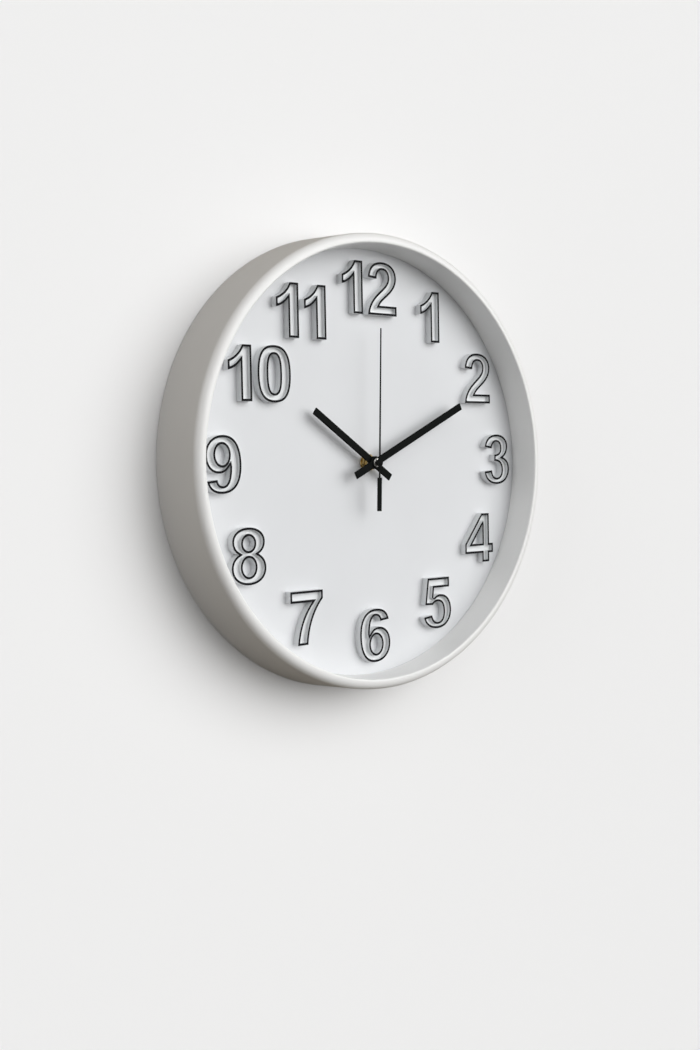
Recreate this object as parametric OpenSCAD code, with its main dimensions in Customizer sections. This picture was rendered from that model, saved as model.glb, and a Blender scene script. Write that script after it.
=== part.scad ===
// Round wall clock with raised numerals and a quartz movement.
// Every module is drawn in dial coordinates: x to the right, y up the dial, z out of the wall.
// The module on_wall() then turns them so that +Z is up and the dial faces -Y.
// The origin is on the hand arbor, in the plane of the wall.

/* [Case] */
// Radius of the case where it meets the wall
case_r = 152; // [135:1:185]
// Depth of the case from the wall to the front of the lip
case_depth = 42; // [37:0.5:60]
// How far the outer wall draws in from the wall to the lip
case_draft = 2; // [0:0.5:4]
// Thickness of the moulded case walls
case_wall = 2.2; // [1.6:0.1:3]
// Width of the lip seen from the front
lip_w = 7; // [6:0.5:12]
// Radius of the outer rounding of the lip
lip_round = 5.4; // [2:0.2:6]
// How far the inner wall draws in from the lip to the dial
inner_draft = 0.8; // [0:0.1:2]

/* [Dial] */
// Thickness of the dial plate
dial_t = 1.8; // [1.2:0.1:3]
// Space between the rim of the dial plate and the outer wall of the case
dial_gap = 0.5; // [0.2:0.1:1]
// Number of screws that hold the dial in the case
dial_screw_count = 6; // [4:1:12]
// Shank radius of the dial screws
dial_screw_r = 0.9; // [0.7:0.1:1]
// Length of the dial screws under the head
dial_screw_l = 10; // [6:1:12]

/* [Numerals] */
// Height of the numerals
numeral_h = 35; // [24:1:42]
// Height of the numerals above the dial
numeral_t = 5; // [2:0.5:7]
// Width of the raised rim around each numeral
numeral_rim = 1.5; // [0.8:0.1:2]
// Depth of the sunk face inside the rim
numeral_sink = 2.4; // [0.5:0.1:3]
// Distance from the inner wall of the case to the circle through the numerals
numeral_inset = 26.6; // [22:0.2:36]
// Space between the two digits of 10, 11 and 12
digit_gap = 4.4; // [2:0.2:6]

/* [Hands] */
// Length of the hour hand from the arbor
hour_len = 60; // [40:1:72]
// Length of the hour hand behind the arbor
hour_tail = 18; // [8:1:24]
// Length of the minute hand from the arbor
minute_len = 89; // [60:1:107]
// Length of the minute hand behind the arbor
minute_tail = 19.5; // [8:1:24]
// Width of the hour and minute hands
hand_w = 4.9; // [3:0.1:7]
// Thickness of the hour and minute hands
hand_t = 1.2; // [0.6:0.1:1.6]
// Radius of the round boss of the hour and minute hands
hand_boss_r = 4.3; // [3.5:0.1:6]
// Length of the second hand from the arbor
second_len = 89; // [60:1:107]
// Length of the second hand behind the arbor
second_tail = 32.3; // [20:1:38]
// Width of the second hand's counterweight
second_weight_w = 3.6; // [2:0.2:5]
// Distance from the arbor to the start of the counterweight
second_weight_start = 10; // [5:1:14]
// Clockwise angle of the hour hand from twelve
hour_angle = 304.6; // [0:0.1:360]
// Clockwise angle of the minute hand from twelve
minute_angle = 64.3; // [0:0.1:360]
// Clockwise angle of the second hand from twelve
second_angle = 2; // [0:0.1:360]

/* [Movement] */
// Space between the wall and the back of the movement
wall_gap = 2; // [1.8:0.1:4]
// Depth of the movement
movement_t = 15.4; // [15.4:0.1:20]
// Width of the movement
movement_w = 56; // [56:1:68]
// Distance from the arbor to the top of the movement
movement_up = 26.7; // [26.7:0.1:36]
// Wall of the movement's housings
housing_wall = 1.5; // [1:0.1:2]
// Thickness of the train plate and of the wheels
wheel_t = 0.8; // [0.5:0.1:0.8]
// Thickness of the rubber washer between movement and dial
rubber_t = 1; // [0.5:0.1:2]
// Radius of the battery
battery_r = 7.1; // [6.8:0.05:7.1]
// Length of the battery without its nub
battery_l = 49; // [46:0.5:49]
// How far the battery stands back from the housing
battery_proud = 0.65; // [0:0.05:1]

/* [Arbors and fits] */
// Radius of the seconds arbor
seconds_r = 0.5; // [0.4:0.05:0.7]
// Wall of the minute tube
minute_wall = 1.14; // [0.8:0.02:1.3]
// Wall of the hour tube
hour_wall = 0.74; // [0.5:0.02:1]
// Radial clearance between turning parts
run_fit = 0.06; // [0.03:0.01:0.1]
// Outer radius of the threaded bush
bush_r = 4; // [3.8:0.1:5]
// Module of the seconds stage, of the wheels that drive the second hand
seconds_module = 0.34; // [0.3:0.01:0.36]
// Module of the rotor stage
rotor_module = 0.26; // [0.22:0.01:0.28]
// Module of the stage from the seconds pinion to the third wheel
third_module = 0.36; // [0.32:0.01:0.38]
// Module of the cannon pinion and the motion wheel
cannon_module = 0.5; // [0.45:0.01:0.52]

/* [Hanger] */
// Thickness of the hanger plate
hanger_t = 1.2; // [0.8:0.1:1.5]
// Width of the hanger plate
hanger_w = 22; // [18:1:30]
// Radius of the keyhole's entry, for the head of the screw in the wall
keyhole_r = 4.5; // [4:0.1:6]
// Radius of the keyhole's slot, for the shank of the screw in the wall
slot_r = 2.2; // [1.6:0.1:3]
// Distance from the entry of the keyhole to the top of its slot
slot_rise = 9; // [6:0.5:14]

/* [Hidden] */
$fn = 48;

// ---- places along the arbor, from the wall to the front ----
movement_z = wall_gap;
housing_floor_z = movement_z + housing_wall;
movement_front_z = movement_z + movement_t;
housing_roof_z = movement_front_z - housing_wall;
split_z = movement_z + 7.5;
dial_back_z = movement_front_z + rubber_t;
dial_z = dial_back_z + dial_t;

level_gap = 0.5;
pinion_over = 0.2;
intermediate_z = housing_floor_z + 0.8;
seconds_z = intermediate_z + wheel_t + level_gap;
third_z = seconds_z + wheel_t + level_gap;
centre_z = third_z + wheel_t + level_gap;
plate_z = centre_z + wheel_t + level_gap;
motion_z = plate_z + wheel_t + level_gap;
hour_wheel_z = motion_z + wheel_t + 1.5 * level_gap;
pivot_depth = 0.9;
pivot_gap = 0.15;
pivot_z = housing_floor_z - pivot_depth + pivot_gap;

washer_t = 0.6;
nut_t = 2.2;
bush_over = 1;
washer_z = dial_z;
nut_z = washer_z + washer_t;
bush_top_z = nut_z + nut_t + bush_over;
hour_collar_z = bush_top_z + 0.8;
hour_collar_t = 1.8;
hour_hand_z = hour_collar_z + hour_collar_t;
minute_collar_z = hour_hand_z + hand_t + 0.4;
minute_spacer_t = 0.6;
minute_hand_z = minute_collar_z + minute_spacer_t;
minute_nut_t = 1.4;
minute_top_z = minute_hand_z + hand_t + minute_nut_t;
second_hub_z = minute_top_z + 0.3;
second_hub_t = 1.4;
second_hand_z = second_hub_z + second_hub_t;
second_hand_t = 0.7;
second_cap_t = 0.5;

// ---- radii of the coaxial arbors ----
minute_in_r = seconds_r + run_fit;
minute_out_r = minute_in_r + minute_wall;
hour_in_r = minute_out_r + run_fit;
hour_out_r = hour_in_r + hour_wall;
bush_in_r = hour_out_r + run_fit;

// ---- case and dial ----
case_front_r = case_r - case_draft;
lip_in_r = case_front_r - lip_w;
dial_seen_r = lip_in_r - inner_draft;
inner_out_r = dial_seen_r + case_wall;
channel_out_r = case_r - case_draft - case_wall;
dial_r = channel_out_r - dial_gap;
boss_circle_r = inner_out_r + 1.3;
boss_r = 1.9;
boss_top_z = min(dial_z + 14, case_depth - case_wall - 1);
dial_hole_r = bush_r + 0.15;
screw_hole_r = dial_screw_r + 0.1;
screw_head_r = 2.1;
screw_head_t = 1.4;

// ---- wheels: number of teeth, and where each stage sits ----
rotor_teeth = 8;
intermediate_teeth = 48;
intermediate_leaves = 8;
seconds_teeth = 40;
seconds_leaves = 8;
third_teeth = 60;
third_leaves = 8;
centre_teeth = 64;
cannon_leaves = 12;
motion_teeth = 36;
motion_leaves = 10;
hour_teeth = 40;
third_dist = third_module * (seconds_leaves + third_teeth) / 2;
centre_module = 2 * third_dist / (third_leaves + centre_teeth);
motion_dist = cannon_module * (cannon_leaves + motion_teeth) / 2;
hour_module = 2 * motion_dist / (motion_leaves + hour_teeth);
seconds_dist = seconds_module * (intermediate_leaves + seconds_teeth) / 2;
rotor_dist = rotor_module * (rotor_teeth + intermediate_teeth) / 2;
third_dir = 60;
motion_dir = 150;
seconds_dir = -10;
rotor_dir = -20;
third_at = third_dist * [cos(third_dir), sin(third_dir)];
motion_at = motion_dist * [cos(motion_dir), sin(motion_dir)];
intermediate_at = seconds_dist * [cos(seconds_dir), sin(seconds_dir)];
rotor_at = intermediate_at + rotor_dist * [cos(rotor_dir), sin(rotor_dir)];
wheel_tip = 1.0;
pinion_tip = 0.5;
root_room = 0.35;
tooth_share = 0.45;

// ---- battery bay and movement outline ----
bay_wall = 1.2;
bay_gap = 0.35;
bay_top_y = -(centre_module * (centre_teeth / 2 + wheel_tip) + 0.4);
battery_y = bay_top_y - bay_wall - bay_gap - battery_r;
battery_z = movement_z - battery_proud + battery_r;
bay_bottom_y = battery_y - battery_r - bay_gap;
movement_down = -bay_bottom_y + housing_wall;
movement_mid_y = (movement_up - movement_down) / 2;
movement_h = movement_up + movement_down;
bay_half_l = movement_w / 2 - housing_wall;
corner_r = 3;
nub_r = 2.7;
nub_l = 1.1;
contact_t = 0.4;
battery_x = bay_half_l - contact_t - 0.1 - nub_l - battery_l / 2;

// ---- pieces inside the movement ----
plate_right_x = 19;
plate_pad_r = 1.6;
plate_pads = [[-22, 22], [15, 24], [-22, -8]];
board_z = plate_z + wheel_t + 1.8;
board_t = 0.8;
board_posts = [[-14, 21.5], [10, 21.5]];
coil_x = 22.9;
coil_r = 2.9;
core_w = 2.4;
bobbin_r = core_w / 2 * sqrt(2) + 0.4;
bobbin_cheek_t = 0.8;
stator_z = third_z;
stator_t = 1;
coil_z = stator_z + stator_t + core_w / 2;
coil_low_y = 3;
coil_high_y = 19;
core_low_y = -6;
core_high_y = 22.6;
magnet_r = 2.7;
magnet_t = 2.4;
rotor_hole_r = 3.1;
rotor_arbor_r = 0.35;
arbor_r = 0.4;
knob_r = 5.2;
knob_t = 2.9;
knob_cup_r = 5.8;
knob_shaft_r = 1;
cup_floor_z = housing_floor_z + 0.7;
cup_roof_z = cup_floor_z + 1;

// ---- hanger ----
hanger_low_y = 15;
keyhole_y = movement_up + 3.5 + keyhole_r;
hanger_high_y = keyhole_y + slot_rise + slot_r + 4;
hanger_screw_at = [[-7.5, 22.6], [7.5, 22.6]];
hanger_screw_r = 1;

// ---------------------------------------------------------------- helpers

// Turns dial coordinates into the part's frame.
module on_wall() {
    rotate([90, 0, 0]) children();
}

// A washer, tube or disc with a true bore, standing on z.
module ring(r_out, r_in, z, t) {
    translate([0, 0, z]) difference() {
        cylinder(r = r_out, h = t);
        translate([0, 0, -1]) cylinder(r = r_in, h = t + 2);
    }
}

// A rectangle with true round corners.
module rounded(w, h, r) {
    square([w - 2 * r, h], center = true);
    square([w, h - 2 * r], center = true);
    for (x = [-1, 1], y = [-1, 1]) translate([x * (w / 2 - r), y * (h / 2 - r)]) circle(r);
}

// Points of an arc, counted from the first angle to the last.
function arc(centre, r, from, to, steps) =
    [for (i = [0 : steps]) let (a = from + (to - from) * i / steps) centre + r * [cos(a), sin(a)]];

// Points of one cubic curve without its first point.
function curve(a, b, c, d, steps) =
    [for (i = [1 : steps]) let (t = i / steps, u = 1 - t)
        u * u * u * a + 3 * u * u * t * b + 3 * u * t * t * c + t * t * t * d];

// An outline from a start and a list of steps: [point] is a straight line and
// [handle, handle, point] is a curve.
function outline(start, steps, i = 0) =
    i == len(steps) ? [start] :
    let (s = steps[i], last = s[len(s) - 1])
    concat([start], len(s) == 1 ? [] : [for (p = curve(start, s[0], s[1], s[2], 6)) if (p != last) p],
        outline(last, steps, i + 1));

// An upright ellipse.
function oval(centre, half_w, half_h) =
    [for (i = [0 : 23]) centre + [half_w * cos(i * 15), half_h * sin(i * 15)]];

// ---------------------------------------------------------------- wheels

// How far an epicycloid flank leans towards the middle of its tooth at radius r, in degrees.
function lean(pitch_r, roll_r, r) =
    let (s = pitch_r + roll_r,
        roll = acos((s * s + roll_r * roll_r - r * r) / (2 * s * roll_r)),
        t = roll * roll_r / pitch_r,
        x = s * cos(t) - roll_r * cos(t + roll),
        y = s * sin(t) - roll_r * sin(t + roll))
    atan2(y, x);

// Outline of a clock wheel: radial roots and epicycloid tips that suit the mate's radial roots.
function wheel_points(teeth, module_mm, mate_teeth, tip, root) =
    let (pitch_r = teeth * module_mm / 2,
        roll_r = mate_teeth * module_mm / 4,
        half = tooth_share * 180 / teeth,
        root_r = pitch_r - root * module_mm,
        mid_r = pitch_r + tip * module_mm / 2,
        tip_r = pitch_r + tip * module_mm,
        flank = [[root_r, half], [pitch_r, half],
            [mid_r, half - lean(pitch_r, roll_r, mid_r)],
            [tip_r, half - lean(pitch_r, roll_r, tip_r)]])
    [for (k = [0 : teeth - 1], i = [0 : 7])
        let (f = i < 4 ? flank[i] : flank[7 - i], a = k * 360 / teeth + (i < 4 ? -f[1] : f[1]))
        f[0] * [cos(a), sin(a)]];

// Angle of a wheel so that its teeth stand in the gaps of the wheel that it meets.
function meshed(dir, phase, teeth, mate_teeth) =
    dir + 180 + 360 / mate_teeth * (0.5 - (phase - dir) / (360 / teeth));

// A toothed wheel on z; is_pinion gives short tips and deep roots.
module gear(teeth, module_mm, mate_teeth, z, t, phase, is_pinion) {
    tip = is_pinion ? pinion_tip : wheel_tip;
    root = (is_pinion ? wheel_tip : pinion_tip) + root_room;
    translate([0, 0, z]) rotate([0, 0, phase]) linear_extrude(height = t)
        polygon(wheel_points(teeth, module_mm, mate_teeth, tip, root));
}

module wheel(teeth, module_mm, mate_teeth, z, phase) {
    gear(teeth, module_mm, mate_teeth, z, wheel_t, phase, false);
}

module pinion(leaves, module_mm, mate_teeth, z, phase) {
    gear(leaves, module_mm, mate_teeth, z - pinion_over, wheel_t + 2 * pinion_over, phase, true);
}

module arbor(r, from, to) {
    translate([0, 0, from]) cylinder(r = r, h = to - from, $fn = 24);
}

// Angles at rest of each wheel, worked out from the seconds wheel outwards.
seconds_phase = 0;
intermediate_phase = meshed(seconds_dir, seconds_phase, seconds_teeth, intermediate_leaves);
rotor_phase = meshed(rotor_dir, intermediate_phase, intermediate_teeth, rotor_teeth);
third_phase = meshed(third_dir, seconds_phase, seconds_leaves, third_teeth);
centre_phase = meshed(third_dir + 180, third_phase, third_leaves, centre_teeth);
motion_phase = meshed(motion_dir, centre_phase, cannon_leaves, motion_teeth);
hour_phase = meshed(motion_dir + 180, motion_phase, motion_leaves, hour_teeth);

// ---------------------------------------------------------------- case and dial

// Section of the case: outer wall, rounded lip and inner wall, open towards the wall.
module case_section() {
    lip_edge_r = 1.2;
    polygon(concat(
        [[case_r - case_wall, 0], [case_r, 0]],
        arc([case_front_r - lip_round, case_depth - lip_round], lip_round, 0, 90, 10),
        arc([lip_in_r + lip_edge_r, case_depth - lip_edge_r], lip_edge_r, 90, 180, 5),
        [[dial_seen_r, dial_z], [inner_out_r, dial_z], [inner_out_r, case_depth - case_wall - 1],
            [channel_out_r - lip_round + case_wall, case_depth - case_wall],
            [channel_out_r, case_depth - lip_round]]));
}

module case_ring() {
    color("whitesmoke") on_wall() difference() {
        union() {
            rotate_extrude($fn = 180) case_section();
            at_dial_screws() translate([0, 0, dial_z]) cylinder(r = boss_r, h = boss_top_z - dial_z);
        }
        at_dial_screws() translate([0, 0, dial_z - 1]) cylinder(r = dial_screw_r, h = dial_screw_l);
    }
}

module at_dial_screws() {
    for (i = [0 : dial_screw_count - 1]) rotate([0, 0, (i + 0.5) * 360 / dial_screw_count])
        translate([boss_circle_r, 0, 0]) children();
}

module dial_plate() {
    rib_w = 1.4;
    rib_h = 3;
    rib_gap = 0.4;
    rib_ring_r = dial_r * 0.62;
    color("gainsboro") on_wall() difference() {
        union() {
            translate([0, 0, dial_back_z]) cylinder(r = dial_r, h = dial_t, $fn = 180);
            // a frame of ribs around the movement, and a stiffening ring outside it
            translate([0, 0, dial_back_z - rib_h]) linear_extrude(height = rib_h + dial_t / 2)
                difference() {
                    movement_outline(-rib_gap - rib_w);
                    movement_outline(-rib_gap);
                }
            ring(rib_ring_r + rib_w, rib_ring_r, dial_back_z - rib_h / 2, (rib_h + dial_t) / 2, $fn = 120);
        }
        translate([0, 0, dial_back_z - 1]) cylinder(r = dial_hole_r, h = dial_t + 2);
        at_dial_screws() translate([0, 0, dial_back_z - 1]) cylinder(r = screw_hole_r, h = dial_t + 2);
    }
}

// A pan-head screw whose shank points along +z from the face at z.
module screw(r, l, head_r, head_t, z) {
    slot_w = head_r * 0.3;
    difference() {
        union() {
            translate([0, 0, z - head_t]) cylinder(r = head_r, h = head_t, $fn = 24);
            translate([0, 0, z]) cylinder(r = r, h = l, $fn = 24);
        }
        for (a = [0, 90]) rotate([0, 0, a]) translate([-head_r * 0.65, -slot_w / 2, z - head_t - 0.1])
            cube([head_r * 1.3, slot_w, head_t * 0.6]);
    }
}

module dial_screws() {
    color("silver") on_wall() at_dial_screws()
        screw(dial_screw_r, dial_screw_l, screw_head_r, screw_head_t, dial_back_z);
}

// ---------------------------------------------------------------- numerals

// Digit outlines on a cap height of 35, with the left edge at x = 0 and the foot at y = 0.
cap_h = 35;
one = outline([9.7, 0], [[[18, 0]], [[18, 35]], [[11, 35]],
    [[9.2, 31], [6, 27.4], [0, 25.2]], [[0, 19]], [[4.4, 20], [7, 21.8], [9.7, 24.6]]]);
two = outline([0, 0], [[[25.5, 0]], [[25.5, 6.4]], [[10.2, 6.4]],
    [[13, 11.6], [25.4, 15.6], [25.4, 25.2]], [[25.4, 31.4], [20.4, 35.5], [12.8, 35.5]],
    [[5.4, 35.5], [0.9, 31.8], [0.4, 24.8]], [[7.9, 24.1]], [[8.3, 28.2], [10, 30.2], [13, 30.2]],
    [[16, 30.2], [17.9, 28.2], [17.9, 25.2]], [[17.9, 17.2], [2.2, 14.8], [0, 0.6]]]);
three = outline([0.4, 26.4], [[[1.2, 32.2], [5.8, 35.5], [12.6, 35.5]],
    [[19.4, 35.5], [23.8, 32], [23.8, 27]], [[23.8, 23.4], [22.2, 20.6], [19.2, 18.9]],
    [[23.2, 17.6], [25.4, 14.7], [25.4, 10.8]], [[25.4, 3.8], [20.2, -0.5], [12.6, -0.5]],
    [[5.2, -0.5], [0.4, 3.2], [0, 8.8]], [[7.6, 9.6]], [[8, 5.9], [9.8, 4.2], [12.6, 4.2]],
    [[15.7, 4.2], [17.6, 6.4], [17.6, 10]], [[17.6, 14.2], [15, 16.3], [10, 16.3]], [[10.2, 20.9]],
    [[14.4, 21.1], [16.3, 22.5], [16.3, 25.4]], [[16.3, 28.5], [14.8, 30.1], [12.3, 30.1]],
    [[9.8, 30.1], [8.2, 28.7], [7.6, 25.4]]]);
four = [[17.2, 0], [24.3, 0], [24.3, 6.5], [28.3, 6.5], [28.3, 13.3], [24.4, 13.3], [24.4, 35],
    [16.8, 35], [0, 13.4], [0, 6.5], [17.2, 6.5]];
four_eye = [[17.6, 26.8], [7.2, 13.3], [17.6, 13.3]];
five = outline([3.9, 35], [[[24.6, 35]], [[24.6, 28]], [[10, 28]], [[9.1, 20.5]],
    [[11.2, 22.3], [13.4, 23.2], [15.9, 23.2]], [[22, 23.2], [26.2, 18.7], [26.2, 12]],
    [[26.2, 4.6], [20.8, -0.5], [13, -0.5]], [[5.6, -0.5], [0.9, 2.8], [0, 8]], [[7.7, 9]],
    [[8.6, 5.6], [10.3, 3.9], [13.2, 3.9]], [[16.8, 3.9], [18.8, 6.6], [18.8, 11.3]],
    [[18.8, 15.8], [16.8, 18.3], [13.3, 18.3]], [[11.2, 18.3], [9.7, 17.5], [8.7, 16.1]], [[1.3, 16.5]]]);
six = outline([25.7, 27.7], [[[24.6, 32.9], [20.8, 35.5], [14.6, 35.5]],
    [[5.4, 35.5], [0, 29.4], [0, 18]], [[0, 6.3], [4.6, -0.5], [13.4, -0.5]],
    [[21.6, -0.5], [26.8, 4.9], [26.8, 12]], [[26.8, 18.5], [22.7, 23.1], [16.8, 23.1]],
    [[13.4, 23.1], [10.8, 21.7], [8.5, 18.3]], [[8.5, 26.1], [10.4, 30.7], [14, 30.7]],
    [[16.4, 30.7], [17.6, 29.5], [18, 26.9]]]);
six_eye = oval([14.3, 11.6], 5, 6.4);
seven = outline([0, 35], [[[26.6, 35]], [[26.6, 29.4]], [[20, 22.8], [14.8, 12.5], [13.9, 0]],
    [[5.4, 0]], [[6.6, 10.8], [10.4, 19.8], [17.6, 27.5]], [[0, 27.5]]]);
eight = outline([5.7, 18.8], [[[2.5, 20.5], [0.8, 23.1], [0.8, 26.5]],
    [[0.8, 31.8], [5.8, 35.5], [13.2, 35.5]], [[20.6, 35.5], [25.6, 31.8], [25.6, 26.5]],
    [[25.6, 23.1], [23.9, 20.5], [20.7, 18.8]], [[24.4, 16.9], [26.4, 13.9], [26.4, 10]],
    [[26.4, 3.8], [21, -0.5], [13.2, -0.5]], [[5.4, -0.5], [0, 3.8], [0, 10]],
    [[0, 13.9], [2, 16.9], [5.7, 18.8]]]);
eight_eyes = [oval([13.2, 25.5], 4.3, 4.6), oval([13.2, 10.6], 4.9, 5.9)];
zero = outline([0, 17.5], [[[0, 30], [4, 35.5], [13, 35.5]], [[22, 35.5], [26, 30], [26, 17.5]],
    [[26, 5], [22, -0.5], [13, -0.5]], [[4, -0.5], [0, 5], [0, 17.5]]]);
zero_eye = outline([8.4, 17.5], [[[8.4, 26], [9.6, 29.7], [13, 29.7]],
    [[16.4, 29.7], [17.6, 26], [17.6, 17.5]], [[17.6, 9], [16.4, 5.3], [13, 5.3]],
    [[9.6, 5.3], [8.4, 9], [8.4, 17.5]]]);

digit_w = [26, 18, 25.5, 25.4, 28.3, 26.2, 26.8, 26.6, 26.4, 26.8];

// How far each numeral is moved from its point on the hour circle, so that all of them look
// evenly spaced from the inner wall: wide ones move in and narrow ones move out.
numeral_nudge = [[-2, 0], [1.5, 1], [5, 1], [1, 2.5], [1, 1.5], [0.5, -0.5],
    [0.5, 1], [-2, 1], [-4, 0.5], [9.5, -1], [1, -2.5], [1, 0.5]];

module digit_2d(d) {
    if (d == 0) difference() { polygon(zero); polygon(zero_eye); }
    if (d == 1) polygon(one);
    if (d == 2) polygon(two);
    if (d == 3) polygon(three);
    if (d == 4) difference() { polygon(four); polygon(four_eye); }
    if (d == 5) polygon(five);
    if (d == 6) difference() { polygon(six); polygon(six_eye); }
    if (d == 7) polygon(seven);
    if (d == 8) difference() { polygon(eight); for (eye = eight_eyes) polygon(eye); }
    if (d == 9) translate([digit_w[6], cap_h]) rotate(180) digit_2d(6);
}

// One digit with a raised rim and a sunk face, standing on the dial with its left foot at [x, y].
module digit(d, x, y) {
    size = numeral_h / cap_h;
    translate([x, y, dial_z]) {
        linear_extrude(height = numeral_t - numeral_sink) scale(size) digit_2d(d);
        linear_extrude(height = numeral_t) difference() {
            scale(size) digit_2d(d);
            offset(delta = -numeral_rim) scale(size) digit_2d(d);
        }
    }
}

module numeral(hour) {
    size = numeral_h / cap_h;
    digits = hour < 10 ? [hour] : [1, hour - 10];
    second_x = size * digit_w[1] + digit_gap;
    width = hour < 10 ? size * digit_w[hour] : second_x + size * digit_w[hour - 10];
    circle_r = dial_seen_r - numeral_inset;
    at = circle_r * [sin(hour * 30), cos(hour * 30)] + size * numeral_nudge[hour - 1];
    color("white") on_wall() for (i = [0 : len(digits) - 1])
        digit(digits[i], at[0] - width / 2 + i * second_x, at[1] - numeral_h / 2);
}

// ---------------------------------------------------------------- movement housings

// The outline of the movement, grown or shrunk by a wall.
module movement_outline(shrink) {
    translate([0, movement_mid_y])
        rounded(movement_w - 2 * shrink, movement_h - 2 * shrink, max(corner_r - shrink, 0.5));
}

module at_points(points) {
    for (p = points) translate([p[0], p[1], 0]) children();
}

module bay_partition(from, to) {
    translate([-bay_half_l - 0.1, bay_top_y - bay_wall, from])
        cube([2 * bay_half_l + 0.2, bay_wall, to - from]);
}

module movement_front() {
    color("dimgray") on_wall() difference() {
        union() {
            translate([0, 0, split_z]) linear_extrude(height = movement_front_z - split_z) difference() {
                movement_outline(0);
                movement_outline(housing_wall);
            }
            translate([0, 0, housing_roof_z]) linear_extrude(height = housing_wall) movement_outline(0.5);
            bay_partition(split_z, housing_roof_z + 0.1);
            at_points(plate_pads) arbor(plate_pad_r, plate_z + wheel_t, housing_roof_z + 0.1);
        }
        translate([0, 0, housing_roof_z - 1]) cylinder(r = bush_r, h = housing_wall + 2);
        at_points([motion_at]) arbor(seconds_r + run_fit, housing_roof_z - 1, housing_roof_z + pivot_depth);
    }
}

module movement_back() {
    bay_open_l = 2 * bay_half_l - 0.6;
    color("dimgray") on_wall() difference() {
        union() {
            translate([0, 0, movement_z]) linear_extrude(height = split_z - movement_z) difference() {
                movement_outline(0);
                movement_outline(housing_wall);
            }
            translate([0, 0, movement_z]) linear_extrude(height = housing_wall) movement_outline(0.5);
            bay_partition(movement_z, split_z);
            at_points(plate_pads) arbor(plate_pad_r, housing_floor_z - 0.1, plate_z);
            at_points(hanger_screw_at) arbor(2.2, housing_floor_z - 0.1, seconds_z);
            at_points([intermediate_at]) arbor(seconds_r, housing_floor_z - 0.1, third_z - 0.2);
            at_points([motion_at]) arbor(knob_cup_r + 1, housing_floor_z - 0.1, cup_roof_z, $fn = 48);
        }
        // the open back of the battery bay
        translate([-bay_open_l / 2, bay_bottom_y, movement_z - 1])
            cube([bay_open_l, 2 * (battery_r + bay_gap), housing_wall + 2]);
        // a finger notch under the battery
        translate([0, -movement_down + housing_wall / 2, movement_z - 1]) cylinder(r = 8, h = 4.5);
        at_points([motion_at]) arbor(knob_cup_r, movement_z - 1, cup_floor_z, $fn = 48);
        at_points([motion_at]) arbor(knob_shaft_r + run_fit, movement_z, cup_roof_z + 1);
        at_points(hanger_screw_at) arbor(hanger_screw_r, movement_z - 1, seconds_z - 0.4);
        at_points([[0, 0]]) arbor(seconds_r + run_fit, housing_floor_z - pivot_depth, housing_floor_z + 1);
        at_points([third_at]) arbor(arbor_r + run_fit, housing_floor_z - pivot_depth, housing_floor_z + 1);
        at_points([rotor_at])
            arbor(rotor_arbor_r + run_fit, housing_floor_z - pivot_depth, housing_floor_z + 1);
    }
}

module train_plate() {
    inside_x = movement_w / 2 - housing_wall - 0.3;
    inside_y = movement_up - housing_wall - 0.3;
    color("ivory") on_wall() difference() {
        union() {
            translate([-inside_x, bay_top_y + 0.3, plate_z])
                cube([inside_x + plate_right_x, inside_y - bay_top_y - 0.3, wheel_t]);
            at_points(board_posts) arbor(1.5, plate_z + wheel_t / 2, board_z);
        }
        translate([0, 0, plate_z - 1]) cylinder(r = minute_out_r + run_fit, h = wheel_t + 2);
        at_points([third_at]) arbor(arbor_r + run_fit, plate_z - 1, plate_z + wheel_t + 1);
        at_points([motion_at]) arbor(seconds_r + run_fit, plate_z - 1, plate_z + wheel_t + 1);
        at_points([rotor_at]) arbor(rotor_arbor_r + run_fit, plate_z - 1, plate_z + wheel_t + 1);
    }
}

module threaded_bush() {
    flange_t = 0.8;
    color("goldenrod") on_wall() difference() {
        union() {
            translate([0, 0, housing_roof_z - flange_t]) cylinder(r = bush_r + 2, h = flange_t);
            arbor(bush_r, housing_roof_z - flange_t, bush_top_z, $fn = 48);
        }
        translate([0, 0, housing_roof_z - flange_t - 1]) cylinder(r = bush_in_r, h = bush_top_z);
    }
}

module rubber_washer() {
    color("darkslategray") on_wall() ring(bush_r + 6, bush_r + 0.1, movement_front_z, rubber_t);
}

module brass_washer() {
    color("goldenrod") on_wall() ring(bush_r + 1.9, bush_r + 0.1, washer_z, washer_t);
}

module dial_nut() {
    nut_af = 2 * bush_r + 2.4;
    color("gold") on_wall() translate([0, 0, nut_z]) difference() {
        rotate([0, 0, 12]) cylinder(r = nut_af / sqrt(3), h = nut_t, $fn = 6);
        translate([0, 0, -1]) cylinder(r = bush_r, h = nut_t + 2);
    }
}

// ---------------------------------------------------------------- hanger

module hanger() {
    plate_h = hanger_high_y - hanger_low_y;
    color("silver") on_wall() translate([0, 0, movement_z - hanger_t]) difference() {
        linear_extrude(height = hanger_t)
            translate([0, hanger_low_y + plate_h / 2]) rounded(hanger_w, plate_h, 4);
        translate([0, keyhole_y, -1]) cylinder(r = keyhole_r, h = hanger_t + 2);
        translate([0, keyhole_y + slot_rise, -1]) cylinder(r = slot_r, h = hanger_t + 2);
        translate([-slot_r, keyhole_y, -1]) cube([2 * slot_r, slot_rise, hanger_t + 2]);
        at_points(hanger_screw_at) translate([0, 0, -1]) cylinder(r = hanger_screw_r, h = hanger_t + 2);
    }
}

module hanger_screws() {
    color("gray") on_wall() at_points(hanger_screw_at)
        screw(hanger_screw_r, 3.6, 2, 0.6, movement_z - hanger_t);
}

// ---------------------------------------------------------------- circuit and motor

module circuit_board() {
    left_x = plate_pads[0][0] + plate_pad_r + 0.4;
    right_x = plate_pads[1][0] - plate_pad_r - 0.4;
    color("darkgreen") on_wall() translate([left_x, 17, board_z]) cube([right_x - left_x, 7.5, board_t]);
}

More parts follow.
